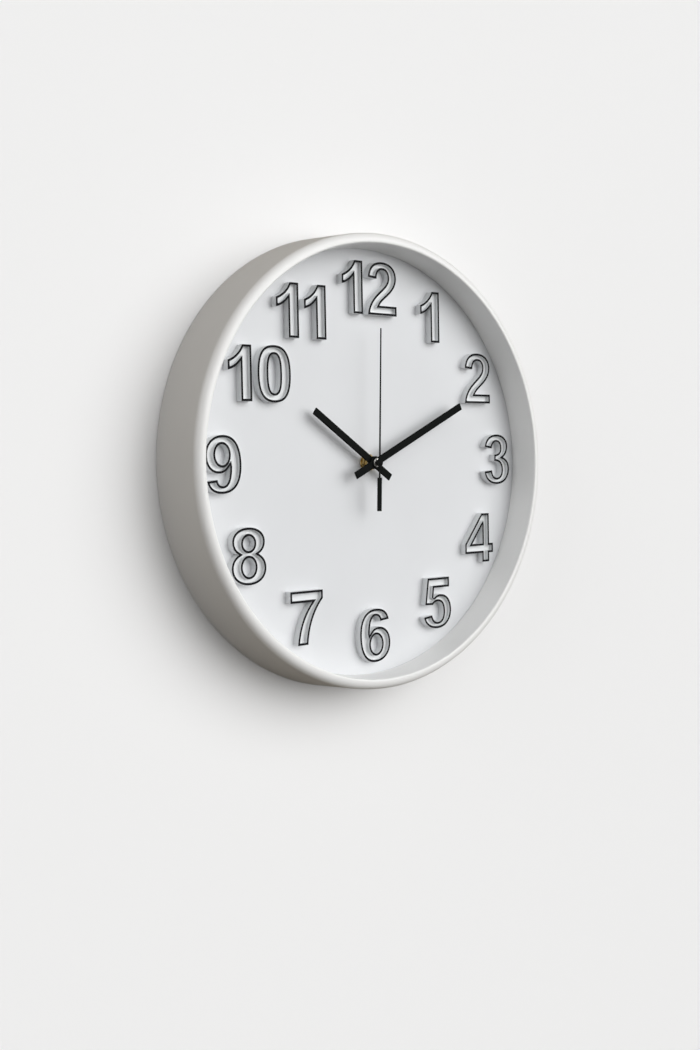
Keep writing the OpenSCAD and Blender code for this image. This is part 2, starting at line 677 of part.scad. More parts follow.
module clock_chip() {
    color("black") on_wall() translate([-8, 20.7, board_z + board_t]) cylinder(r = 2.6, h = 0.9);
}

module crystal() {
    can_r = 1;
    color("silver") on_wall() translate([1, 20.7, board_z + board_t + can_r]) rotate([0, 90, 0])
        cylinder(r = can_r, h = 6, $fn = 24);
}

module coil_bobbin() {
    color("white") on_wall() difference() {
        translate([coil_x, coil_low_y, coil_z]) rotate([-90, 0, 0]) {
            cylinder(r = bobbin_r, h = coil_high_y - coil_low_y);
            for (y = [0, coil_high_y - coil_low_y - bobbin_cheek_t]) translate([0, 0, y])
                cylinder(r = coil_r + 0.1, h = bobbin_cheek_t, $fn = 32);
        }
        translate([coil_x - core_w / 2, coil_low_y - 1, coil_z - core_w / 2])
            cube([core_w, coil_high_y - coil_low_y + 2, core_w]);
    }
}

module coil_winding() {
    coil_l = coil_high_y - coil_low_y - 2 * bobbin_cheek_t;
    color("chocolate") on_wall() translate([coil_x, coil_low_y + bobbin_cheek_t, coil_z]) rotate([-90, 0, 0])
        ring(coil_r, bobbin_r, 0, coil_l);
}

module coil_core() {
    color("gray") on_wall() translate([coil_x - core_w / 2, core_low_y, coil_z - core_w / 2])
        cube([core_w, core_high_y - core_low_y, core_w]);
}

// The magnetic circuit: a plate round the rotor and a leg to each end of the coil's core.
module stator() {
    leg_x = plate_right_x - 1.2;
    leg_w = 1.6;
    reach_x = coil_x + core_w / 2;
    low_y = rotor_at[1] - rotor_hole_r - 1.2;
    high_y = rotor_at[1] + rotor_hole_r + 0.6;
    color("slategray") on_wall() translate([0, 0, stator_z]) difference() {
        union() {
            translate([rotor_at[0] - rotor_hole_r - 1, low_y, 0])
                cube([reach_x - rotor_at[0] + rotor_hole_r + 1, high_y - low_y, stator_t]);
            translate([leg_x, high_y - 0.1, 0]) cube([leg_w, core_high_y - high_y + 0.1, stator_t]);
            translate([leg_x, core_high_y - 3, 0]) cube([reach_x - leg_x, 3, stator_t]);
        }
        translate([rotor_at[0], rotor_at[1], -1]) cylinder(r = rotor_hole_r, h = stator_t + 2);
    }
}

module contact_positive() {
    half_w = 4;
    color("silver") on_wall() translate([bay_half_l - contact_t, battery_y - half_w, movement_z + 3])
        cube([contact_t, 2 * half_w, housing_roof_z - movement_z - 3]);
}

// A leaf that stands on the end wall of the bay and bulges towards the battery.
module contact_negative() {
    leaf_reach = battery_x - battery_l / 2 - 0.08 + bay_half_l;
    top = housing_roof_z - movement_z - 3;
    color("silver") on_wall() translate([-bay_half_l, battery_y + 4, movement_z + 3]) rotate([90, 0, 0])
        linear_extrude(height = 8) polygon([[0, 0], [contact_t, 0], [leaf_reach, top * 0.45],
            [contact_t, top * 0.9], [contact_t, top], [0, top], [0, top * 0.9 - 0.3],
            [leaf_reach - contact_t * 1.2, top * 0.45], [0, 0.4]]);
}

module battery() {
    color("dimgray") on_wall() translate([battery_x - battery_l / 2, battery_y, battery_z])
        rotate([0, 90, 0]) {
            cylinder(r = battery_r, h = battery_l);
            translate([0, 0, battery_l - 0.1]) cylinder(r = nub_r, h = nub_l + 0.1);
        }
}

// ---------------------------------------------------------------- going train

module rotor_magnet() {
    color("darkslategray") on_wall() at_points([rotor_at])
        ring(magnet_r, rotor_arbor_r, stator_z + stator_t / 2 - magnet_t / 2, magnet_t);
}

module rotor_pinion() {
    color("white") on_wall() at_points([rotor_at]) {
        pinion(rotor_teeth, rotor_module, intermediate_teeth, intermediate_z, rotor_phase);
        arbor(rotor_arbor_r, pivot_z, plate_z + wheel_t - 0.1);
    }
}

module intermediate_wheel() {
    color("white") on_wall() at_points([intermediate_at]) difference() {
        union() {
            wheel(intermediate_teeth, rotor_module, rotor_teeth, intermediate_z, intermediate_phase);
            pinion(intermediate_leaves, seconds_module, seconds_teeth, seconds_z, intermediate_phase);
            arbor(seconds_r + 0.35, intermediate_z, seconds_z);
        }
        translate([0, 0, intermediate_z - 1]) cylinder(r = seconds_r + run_fit, h = 5);
    }
}

module seconds_wheel() {
    color("white") on_wall() {
        wheel(seconds_teeth, seconds_module, intermediate_leaves, seconds_z, seconds_phase);
        pinion(seconds_leaves, third_module, third_teeth, third_z, seconds_phase);
        arbor(seconds_r + 0.3, seconds_z, third_z);
        arbor(seconds_r, pivot_z, second_hand_z + second_hand_t, $fn = 32);
    }
}

module third_wheel() {
    color("white") on_wall() at_points([third_at]) {
        wheel(third_teeth, third_module, seconds_leaves, third_z, third_phase);
        pinion(third_leaves, centre_module, centre_teeth, centre_z, third_phase);
        arbor(arbor_r, pivot_z, plate_z + wheel_t - 0.1);
    }
}

module centre_wheel() {
    color("white") on_wall() difference() {
        wheel(centre_teeth, centre_module, third_leaves, centre_z, centre_phase);
        translate([0, 0, centre_z - 1]) cylinder(r = minute_in_r, h = wheel_t + 2);
    }
}

module cannon_pinion() {
    tube_z = centre_z + wheel_t;
    color("silver") on_wall() difference() {
        union() {
            pinion(cannon_leaves, cannon_module, motion_teeth, motion_z, centre_phase);
            arbor(minute_out_r, tube_z, minute_top_z, $fn = 48);
        }
        translate([0, 0, tube_z - 1]) cylinder(r = minute_in_r, h = minute_top_z);
    }
}

module motion_wheel() {
    color("white") on_wall() at_points([motion_at]) {
        wheel(motion_teeth, cannon_module, cannon_leaves, motion_z, motion_phase);
        pinion(motion_leaves, hour_module, hour_teeth, hour_wheel_z, motion_phase);
        arbor(knob_shaft_r + 0.3, motion_z, hour_wheel_z);
        arbor(seconds_r, cup_roof_z + 0.6, housing_roof_z + pivot_depth - pivot_gap, $fn = 32);
    }
}

// The knob that sets the hands, in its cup in the back of the movement.
module setting_knob() {
    knob_z = cup_floor_z - 0.3 - knob_t;
    grip_count = 16;
    color("gray") on_wall() at_points([motion_at]) {
        difference() {
            translate([0, 0, knob_z]) cylinder(r = knob_r, h = knob_t);
            for (i = [0 : grip_count - 1]) rotate([0, 0, i * 360 / grip_count])
                translate([knob_r + 0.1, 0, knob_z - 1]) cylinder(r = 0.5, h = knob_t + 2, $fn = 16);
            translate([-3.6, -0.6, knob_z - 1]) cube([7.2, 1.2, 1.8]);
        }
        arbor(knob_shaft_r, knob_z + knob_t - 0.1, cup_roof_z + 0.6, $fn = 32);
    }
}

module hour_wheel() {
    color("ivory") on_wall() difference() {
        union() {
            wheel(hour_teeth, hour_module, motion_leaves, hour_wheel_z, hour_phase);
            arbor(hour_out_r, hour_wheel_z, hour_hand_z + hand_t, $fn = 48);
        }
        translate([0, 0, hour_wheel_z - 1]) cylinder(r = hour_in_r, h = hour_hand_z);
    }
}

// ---------------------------------------------------------------- hands

// Turns a hand drawn pointing up the dial to its clockwise angle.
module pointed(angle) {
    rotate([0, 0, -angle]) children();
}

// A flat bar hand with a round boss and bevelled upper edges.
module bar_hand(len, tail, z, bore_r) {
    bevel = hand_t * 0.35;
    translate([0, 0, z]) difference() {
        union() {
            hull() {
                translate([-hand_w / 2, -tail, 0]) cube([hand_w, len + tail, hand_t - bevel]);
                translate([-hand_w / 2 + bevel, -tail + bevel, 0])
                    cube([hand_w - 2 * bevel, len + tail - 2 * bevel, hand_t]);
            }
            cylinder(r = hand_boss_r, h = hand_t - bevel);
            translate([0, 0, hand_t - bevel]) cylinder(r1 = hand_boss_r, r2 = hand_boss_r - bevel, h = bevel);
        }
        translate([0, 0, -1]) cylinder(r = bore_r, h = hand_t + 2);
    }
}

module hour_hand() {
    color("black") on_wall() pointed(hour_angle) bar_hand(hour_len, hour_tail, hour_hand_z, hour_out_r);
}

module hour_collar() {
    color("silver") on_wall() ring(hour_out_r + 1, hour_out_r, hour_collar_z, hour_collar_t);
}

module minute_hand() {
    color("black") on_wall() pointed(minute_angle)
        bar_hand(minute_len, minute_tail, minute_hand_z, minute_out_r);
}

// The ring behind the minute hand and the nut in front of it.
module minute_collar() {
    color("silver") on_wall() {
        ring(minute_out_r + 1.6, minute_out_r, minute_collar_z, minute_spacer_t);
        ring(minute_out_r + 1.2, minute_out_r, minute_hand_z + hand_t, minute_nut_t);
    }
}

module second_hand() {
    stem_root = 1.1;
    stem_tip = 0.7;
    disc_r = 2.6;
    color("black") on_wall() pointed(second_angle) translate([0, 0, second_hand_z]) {
        difference() {
            union() {
                linear_extrude(height = second_hand_t) {
                    polygon([[-stem_root / 2, -second_weight_start - 1],
                        [stem_root / 2, -second_weight_start - 1],
                        [stem_tip / 2, second_len], [-stem_tip / 2, second_len]]);
                    translate([-second_weight_w / 2, -second_tail])
                        square([second_weight_w, second_tail - second_weight_start]);
                }
                cylinder(r = disc_r, h = second_hand_t);
            }
            translate([0, 0, -1]) cylinder(r = seconds_r, h = second_hand_t + 2, $fn = 32);
        }
    }
}

// The tube that grips the seconds arbor, and the cap over its end.
module second_hub() {
    cap_z = second_hand_z + second_hand_t;
    color("dimgray") on_wall() {
        ring(seconds_r + 0.6, seconds_r, second_hub_z, second_hub_t);
        translate([0, 0, cap_z]) cylinder(r1 = 1.5, r2 = 1.1, h = second_cap_t, $fn = 32);
    }
}

case_ring();
dial_plate();
dial_screws();
numeral(1);  // numeral_1
numeral(2);  // numeral_2
numeral(3);  // numeral_3
numeral(4);  // numeral_4
numeral(5);  // numeral_5
numeral(6);  // numeral_6
numeral(7);  // numeral_7
numeral(8);  // numeral_8
numeral(9);  // numeral_9
numeral(10);  // numeral_10
numeral(11);  // numeral_11
numeral(12);  // numeral_12
movement_front();
movement_back();
train_plate();
threaded_bush();
rubber_washer();
brass_washer();
dial_nut();
hanger();
hanger_screws();
circuit_board();
clock_chip();
crystal();
coil_bobbin();
coil_winding();
coil_core();
stator();
contact_positive();
contact_negative();
battery();
rotor_magnet();
rotor_pinion();
intermediate_wheel();
seconds_wheel();
third_wheel();
centre_wheel();
cannon_pinion();
motion_wheel();
setting_knob();
hour_wheel();
hour_hand();
hour_collar();
minute_hand();
minute_collar();
second_hand();
second_hub();
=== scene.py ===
"""A round wall clock: the looks of its case, dial, numerals, hands and quartz movement.

Shapes are drawn in dial coordinates, in millimetres: x to the right, y up the dial and z out
of the wall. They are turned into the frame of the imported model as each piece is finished.
"""

import logging
import math
from collections.abc import Callable
from dataclasses import dataclass, field
from enum import Enum

import bmesh
import bpy
import numpy as np
from mathutils import Matrix, Vector
from mathutils.geometry import tessellate_polygon


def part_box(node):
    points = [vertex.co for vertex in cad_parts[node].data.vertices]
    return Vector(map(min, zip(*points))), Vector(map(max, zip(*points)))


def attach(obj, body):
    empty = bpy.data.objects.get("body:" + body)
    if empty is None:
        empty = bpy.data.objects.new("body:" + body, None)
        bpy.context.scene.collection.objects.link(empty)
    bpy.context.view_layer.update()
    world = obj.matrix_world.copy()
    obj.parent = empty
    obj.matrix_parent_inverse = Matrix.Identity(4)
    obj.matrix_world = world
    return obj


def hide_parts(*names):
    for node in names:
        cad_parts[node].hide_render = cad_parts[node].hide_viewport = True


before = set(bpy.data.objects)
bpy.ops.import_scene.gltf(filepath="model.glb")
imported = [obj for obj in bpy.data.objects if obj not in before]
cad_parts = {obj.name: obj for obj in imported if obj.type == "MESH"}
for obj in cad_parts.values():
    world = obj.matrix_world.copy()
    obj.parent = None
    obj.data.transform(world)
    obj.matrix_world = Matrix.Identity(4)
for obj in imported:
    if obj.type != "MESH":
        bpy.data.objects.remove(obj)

MM = 0.001
LOG = logging.getLogger("wall_clock")

Point = tuple[float, float]
Ring = list[Point]
Colour = tuple[float, float, float]
Ripple = Callable[[float, float, float], float]


class Body(Enum):
    """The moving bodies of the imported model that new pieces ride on."""

    CLOCK = "clock_body"
    HOURS = "hours"
    MINUTES = "minutes"
    SECONDS = "seconds"
    BATTERY = "battery"


class Surface(Enum):
    """The kinds of surface that a finish can have."""

    MOULDED = "moulded"
    METAL = "metal"


# ------------------------------------------------------------------ outlines


def circle(radius: float, sides: int = 48, centre: Point = (0.0, 0.0)) -> Ring:
    """A circle, counter-clockwise.

    Args:
        radius: Its radius.
        sides: How many points it has.
        centre: Its centre.

    Returns:
        The points.
    """
    turn = 2 * math.pi / sides
    return [
        (centre[0] + radius * math.cos(i * turn), centre[1] + radius * math.sin(i * turn))
        for i in range(sides)
    ]


def rounded(corners: list[tuple[float, float, float]], steps: int = 4) -> Ring:
    """A closed outline with rounded corners.

    Args:
        corners: Each corner as x, y and the radius of its rounding.
        steps: How many flats each rounding has.

    Returns:
        The points, in the order of the corners.
    """
    ring: Ring = []
    for i, (x, y, radius) in enumerate(corners):
        here = Vector((x, y))
        if radius <= 0:
            ring.append((x, y))
            continue
        before = (Vector(corners[i - 1][:2]) - here).normalized()
        after = (Vector(corners[(i + 1) % len(corners)][:2]) - here).normalized()
        half = before.angle(after) / 2
        centre = here + (before + after).normalized() * radius / math.sin(half)
        first = here + before * radius / math.tan(half) - centre
        last = here + after * radius / math.tan(half) - centre
        start = math.atan2(first.y, first.x)
        sweep = (math.atan2(last.y, last.x) - start + math.pi) % (2 * math.pi) - math.pi
        for k in range(steps + 1):
            angle = start + sweep * k / steps
            ring.append((centre.x + radius * math.cos(angle), centre.y + radius * math.sin(angle)))
    return ring


def rectangle(low: Point, high: Point, radius: float = 0.0, steps: int = 4) -> Ring:
    """A rectangle with round corners, counter-clockwise.

    Args:
        low: Its lower left corner.
        high: Its upper right corner.
        radius: The radius of its corners.
        steps: How many flats each corner has.

    Returns:
        The points.
    """
    (x0, y0), (x1, y1) = low, high
    return rounded([(x0, y0, radius), (x1, y0, radius), (x1, y1, radius), (x0, y1, radius)], steps)


def moved(ring: Ring, offset: Point, clockwise: float = 0.0) -> Ring:
    """Turns an outline clockwise about the origin, in degrees, and then moves it by offset."""
    c, s = math.cos(math.radians(clockwise)), math.sin(math.radians(clockwise))
    return [(x * c + y * s + offset[0], -x * s + y * c + offset[1]) for x, y in ring]


def inset(ring: Ring, distance: float) -> Ring:
    """Moves each side of an outline to its left, with mitred corners.

    Args:
        ring: The outline. Its material is on the left of its path.
        distance: How far the sides move, or the other way where it is negative.

    Returns:
        An outline with the same number of points.
    """
    points = np.array(ring, float)
    ahead = np.roll(points, -1, 0) - points
    ahead /= np.linalg.norm(ahead, axis=1)[:, None]
    left = np.stack([-ahead[:, 1], ahead[:, 0]], 1)
    behind = np.roll(left, 1, 0)
    spread = 1 + (left * behind).sum(1)
    shifted = points + (left + behind) * (distance / np.maximum(spread, 0.3))[:, None]
    return [(float(x), float(y)) for x, y in shifted]


def deep_inset(ring: Ring, distance: float) -> Ring:
    """An inset that leaves out the loops that a deep one makes beside sharp corners.

    Args:
        ring: The outline. Its material is on the left of its path.
        distance: How far the sides move.

    Returns:
        The new outline, which may have fewer points.
    """
    tried = np.array(inset(ring, distance), float)
    a = np.array(ring, float)
    along = np.roll(a, -1, 0) - a
    share = ((tried[:, None] - a[None]) * along[None]).sum(2) / (along**2).sum(1)[None]
    nearest = a[None] + np.clip(share, 0, 1)[:, :, None] * along[None]
    gap = np.linalg.norm(tried[:, None] - nearest, axis=2).min(1)
    kept: Ring = []
    for (x, y), g in zip(tried, gap):
        if g > distance - 2e-3 and (not kept or math.dist(kept[-1], (x, y)) > 0.02):
            kept.append((float(x), float(y)))
    if math.dist(kept[0], kept[-1]) < 0.02:
        kept.pop()
    return kept


def drawn(start: Point, steps: list[tuple[Point, ...]], spacing: float = 0.55) -> Ring:
    """An outline drawn with straight lines and cubic curves.

    Args:
        start: Where it starts.
        steps: A point for a straight line, or two handles and a point for a curve.
        spacing: About how far apart the points of a line or curve are.

    Returns:
        The points, without the start again at the end.
    """
    ring, here = [start], start
    for step in steps:
        a, d = np.array(here), np.array(step[-1])
        b, c = (np.array(step[0]), np.array(step[1])) if len(step) == 3 else (a, d)
        length = sum(np.linalg.norm(q - p) for p, q in ((a, b), (b, c), (c, d)))
        count = max(2, round(length / spacing))
        for i in range(1, count + 1):
            t = i / count
            if len(step) == 1:
                p = a + (d - a) * t
            else:
                u = 1 - t
                p = u**3 * a + 3 * u * u * t * b + 3 * u * t * t * c + t**3 * d
            ring.append((float(p[0]), float(p[1])))
        here = step[-1]
    if math.dist(ring[0], ring[-1]) < spacing / 2:
        ring.pop()
    return ring


# ------------------------------------------------------------------ meshes


@dataclass
class Shell:
    """A mesh in the making, in dial coordinates and millimetres.

    Attributes:
        place: Turns and moves the shell's own coordinates into dial coordinates.
        points: Its points.
        faces: Its faces, each with the number of its finish.
    """

    place: Matrix = field(default_factory=lambda: Matrix.Identity(4))
    points: list[Vector] = field(default_factory=list)
    faces: list[tuple[list[int], int]] = field(default_factory=list)

    def ring(self, outline: Ring, z: float) -> list[int]:
        """Adds the points of an outline at one height and returns their numbers."""
        first = len(self.points)
        self.points += [self.place @ Vector((x, y, z)) for x, y in outline]
        return list(range(first, len(self.points)))

    def skin(self, low: list[int], high: list[int], paint: int = 0) -> None:
        """Joins two rings that have the same number of points with a wall of quads.

        Args:
            low: The lower ring.
            high: The upper ring.
            paint: The number of its finish.
        """
        count = len(low)
        for i in range(count):
            j = (i + 1) % count
            self.faces.append(([low[i], low[j], high[j], high[i]], paint))

    def stack(self, rings: list[list[int]], paints: list[int] | None = None) -> None:
        """Joins each ring to the next, with a finish for each wall."""
        for k in range(len(rings) - 1):
            self.skin(rings[k], rings[k + 1], paints[k] if paints else 0)

    def cover(self, rings: list[list[int]], paint: int = 0) -> None:
        """Fills the flat area between an outline and the holes in it.

        Args:
            rings: The outline and its holes.
            paint: The number of its finish.
        """
        inverse = self.place.inverted()
        flat = [[(inverse @ self.points[i]).to_2d().to_3d() for i in ring] for ring in rings]
        numbers = [i for ring in rings for i in ring]
        for triangle in tessellate_polygon(flat):
            self.faces.append(([numbers[i] for i in triangle], paint))

    def slab(self, outlines: list[Ring], low: float, high: float, edge: float, steps: int = 2) -> None:
        """Adds a plate with rounded edges.

        Args:
            outlines: Its outline and the holes in it, each with its material on the left.
            low: The height of its lower face.
            high: The height of its upper face.
            edge: The radius of its edges.
            steps: How many flats each edge has.
        """
        turns = [math.pi / 2 * k / steps for k in range(steps + 1)]
        ends: tuple[list[list[int]], list[list[int]]] = ([], [])
        for outline in outlines:
            rings = [
                self.ring(inset(outline, edge * (1 - math.sin(a))), low + edge * (1 - math.cos(a)))
                for a in turns
            ]
            rings += [
                self.ring(inset(outline, edge * (1 - math.cos(a))), high - edge * (1 - math.sin(a)))
                for a in turns
            ]
            self.stack(rings)
            ends[0].append(rings[0])
            ends[1].append(rings[-1])
        self.cover(ends[0])
        self.cover(ends[1])

    def turned(
        self,
        profile: list[Point],
        sides: int,
        paints: list[int] | None = None,
        ripple: Ripple | None = None,
    ) -> None:
        """Adds a closed profile turned about z.

        Args:
            profile: Its points as radius and height.
            sides: How many flats go round.
            paints: The finish of each part of the profile.
            ripple: How far the surface stands out at an angle, radius and height.
        """
        rings = []
        for r, z in profile:
            ring = []
            for i in range(sides):
                angle = 2 * math.pi * i / sides
                out = r + (ripple(angle, r, z) if ripple else 0.0)
                ring.append((out * math.cos(angle), out * math.sin(angle)))
            rings.append(self.ring(ring, z))
        self.stack(rings + rings[:1], paints)

    def piece(
        self,
        name: str,
        body: Body,
        slot: str,
        finishes: list["Finish"],
        stands_for: tuple[str, ...] = (),
        smooth: float = 32.0,
    ) -> bpy.types.Object:
        """Makes the shell into a piece of the clock.

        Args:
            name: The name of the piece.
            body: The body that it rides on.
            slot: The name of a material slot of the record. It is not used.
            finishes: Its finishes, in the order of their numbers.
            stands_for: The CAD nodes that it stands for.
            smooth: The largest angle between faces that are shaded as one, in degrees.

        Returns:
            The new object.
        """
        bm = bmesh.new()
        made = [bm.verts.new(Vector((p.x, -p.z, p.y)) * MM) for p in self.points]
        for face, paint in self.faces:
            if len({tuple(round(v, 5) for v in self.points[i]) for i in face}) < 3:
                continue
            bm.faces.new([made[i] for i in face]).material_index = paint
        bmesh.ops.remove_doubles(bm, verts=bm.verts, dist=2e-7)
        bmesh.ops.dissolve_degenerate(bm, edges=bm.edges, dist=1e-8)
        loose = [v for v in bm.verts if not v.link_faces]
        bmesh.ops.delete(bm, geom=loose, context="VERTS")
        bmesh.ops.recalc_face_normals(bm, faces=bm.faces)
        for f in bm.faces:
            f.smooth = True
        for e in bm.edges:
            if len(e.link_faces) != 2 or e.calc_face_angle() > math.radians(smooth):
                e.smooth = False
        mesh = bpy.data.meshes.new(name)
        bm.to_mesh(mesh)
        bm.free()
        for finish in finishes:
            mesh.materials.append(finish.material())
        piece = bpy.data.objects.new(name, mesh)
        bpy.context.scene.collection.objects.link(piece)
        flat = piece.modifiers.new("normals", "WEIGHTED_NORMAL")
        flat.keep_sharp = True
        flat.weight = 90
        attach(piece, body.value)
        if stands_for:
            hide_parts(*stands_for)
        LOG.info("%s: %d faces", name, len(mesh.polygons))
        return piece


def measured(node: str) -> tuple[Vector, Vector]:
    """The lowest and highest corner of a CAD node in dial coordinates and millimetres."""
    low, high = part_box(node)
    return Vector((low.x, low.z, -high.y)) / MM, Vector((high.x, high.z, -low.y)) / MM


# ------------------------------------------------------------------ finishes


class Nodes:
    """Short words for building a node tree."""

    def __init__(self, tree: bpy.types.NodeTree) -> None:
        """Takes the tree that nodes are added to."""
        self.tree = tree

    def add(self, kind: str, inputs: dict[str | int, object], **settings: object) -> bpy.types.Node:
        """Adds a node.

        Args:
            kind: The node's type without its prefix.
            inputs: A value or an output socket for each input, by name or number.
            settings: The node's own settings.

        Returns:
            The node.
        """
        node = self.tree.nodes.new(f"ShaderNode{kind}")
        for key, value in settings.items():
            setattr(node, key, value)
        for key, value in inputs.items():
            if isinstance(value, bpy.types.NodeSocket):
                self.tree.links.new(value, node.inputs[key])
            else:
                node.inputs[key].default_value = value
        return node

    def maths(self, operation: str, a: object, b: object = 0.5, clamp: bool = False) -> bpy.types.NodeSocket:
        """The result of a Math node."""
        node = self.add("Math", {0: a, 1: b}, operation=operation, use_clamp=clamp)
        return node.outputs[0]

    def blend(self, share: object, a: object, b: object, way: str = "MIX") -> bpy.types.NodeSocket:
        """The colour from a to b by a share."""
        node = self.add("Mix", {0: share, 6: a, 7: b}, data_type="RGBA", blend_type=way)
        return node.outputs[2]

    def ramp(
        self, value: object, low: float, high: float, bottom: object = 0.0, top: object = 1.0
    ) -> bpy.types.NodeSocket:
        """A value taken from low and high to bottom and top, and held there."""
        node = self.add("MapRange", {0: value, 1: low, 2: high, 3: bottom, 4: top})
        return node.outputs[0]

    def noise(self, where: object, scale: object, detail: float = 2.0) -> bpy.types.NodeSocket:
        """A noise value."""
        return self.add("TexNoise", {"Vector": where, "Scale": scale, "Detail": detail}).outputs[0]


def new_group(
    name: str, inputs: dict[str, object], outputs: dict[str, str]
) -> tuple[Nodes, dict, bpy.types.Node]:
    """Starts a shader node group.

    Args:
        name: Its name.
        inputs: The default of each input, a number or a colour.
        outputs: The socket type of each output.

    Returns:
        Its nodes, its input sockets by name, and its output node.
    """
    tree = bpy.data.node_groups.new(name, "ShaderNodeTree")
    for key, default in inputs.items():
        kind = "NodeSocketFloat" if isinstance(default, float) else "NodeSocketColor"
        tree.interface.new_socket(key, in_out="INPUT", socket_type=kind).default_value = default
    for key, kind in outputs.items():
        tree.interface.new_socket(key, in_out="OUTPUT", socket_type=kind)
    entry = tree.nodes.new("NodeGroupInput")
    sockets = {key: entry.outputs[key] for key in inputs}
    return Nodes(tree), sockets, tree.nodes.new("NodeGroupOutput")


DUST_ON_PLASTIC = (0.62, 0.60, 0.57, 1.0)
DUST_ON_METAL = (0.5, 0.49, 0.47, 1.0)
TARNISH = (0.16, 0.14, 0.12, 1.0)
BAND_PRINT = (0.56, 0.58, 0.6, 1.0)
BAND_SPAN = (0.0125, 0.0205)
LINE_SPAN = (0.0105, 0.0112)
SURFACE_OUTPUTS = {"Colour": "NodeSocketColor", "Roughness": "NodeSocketFloat", "Height": "NodeSocketFloat"}


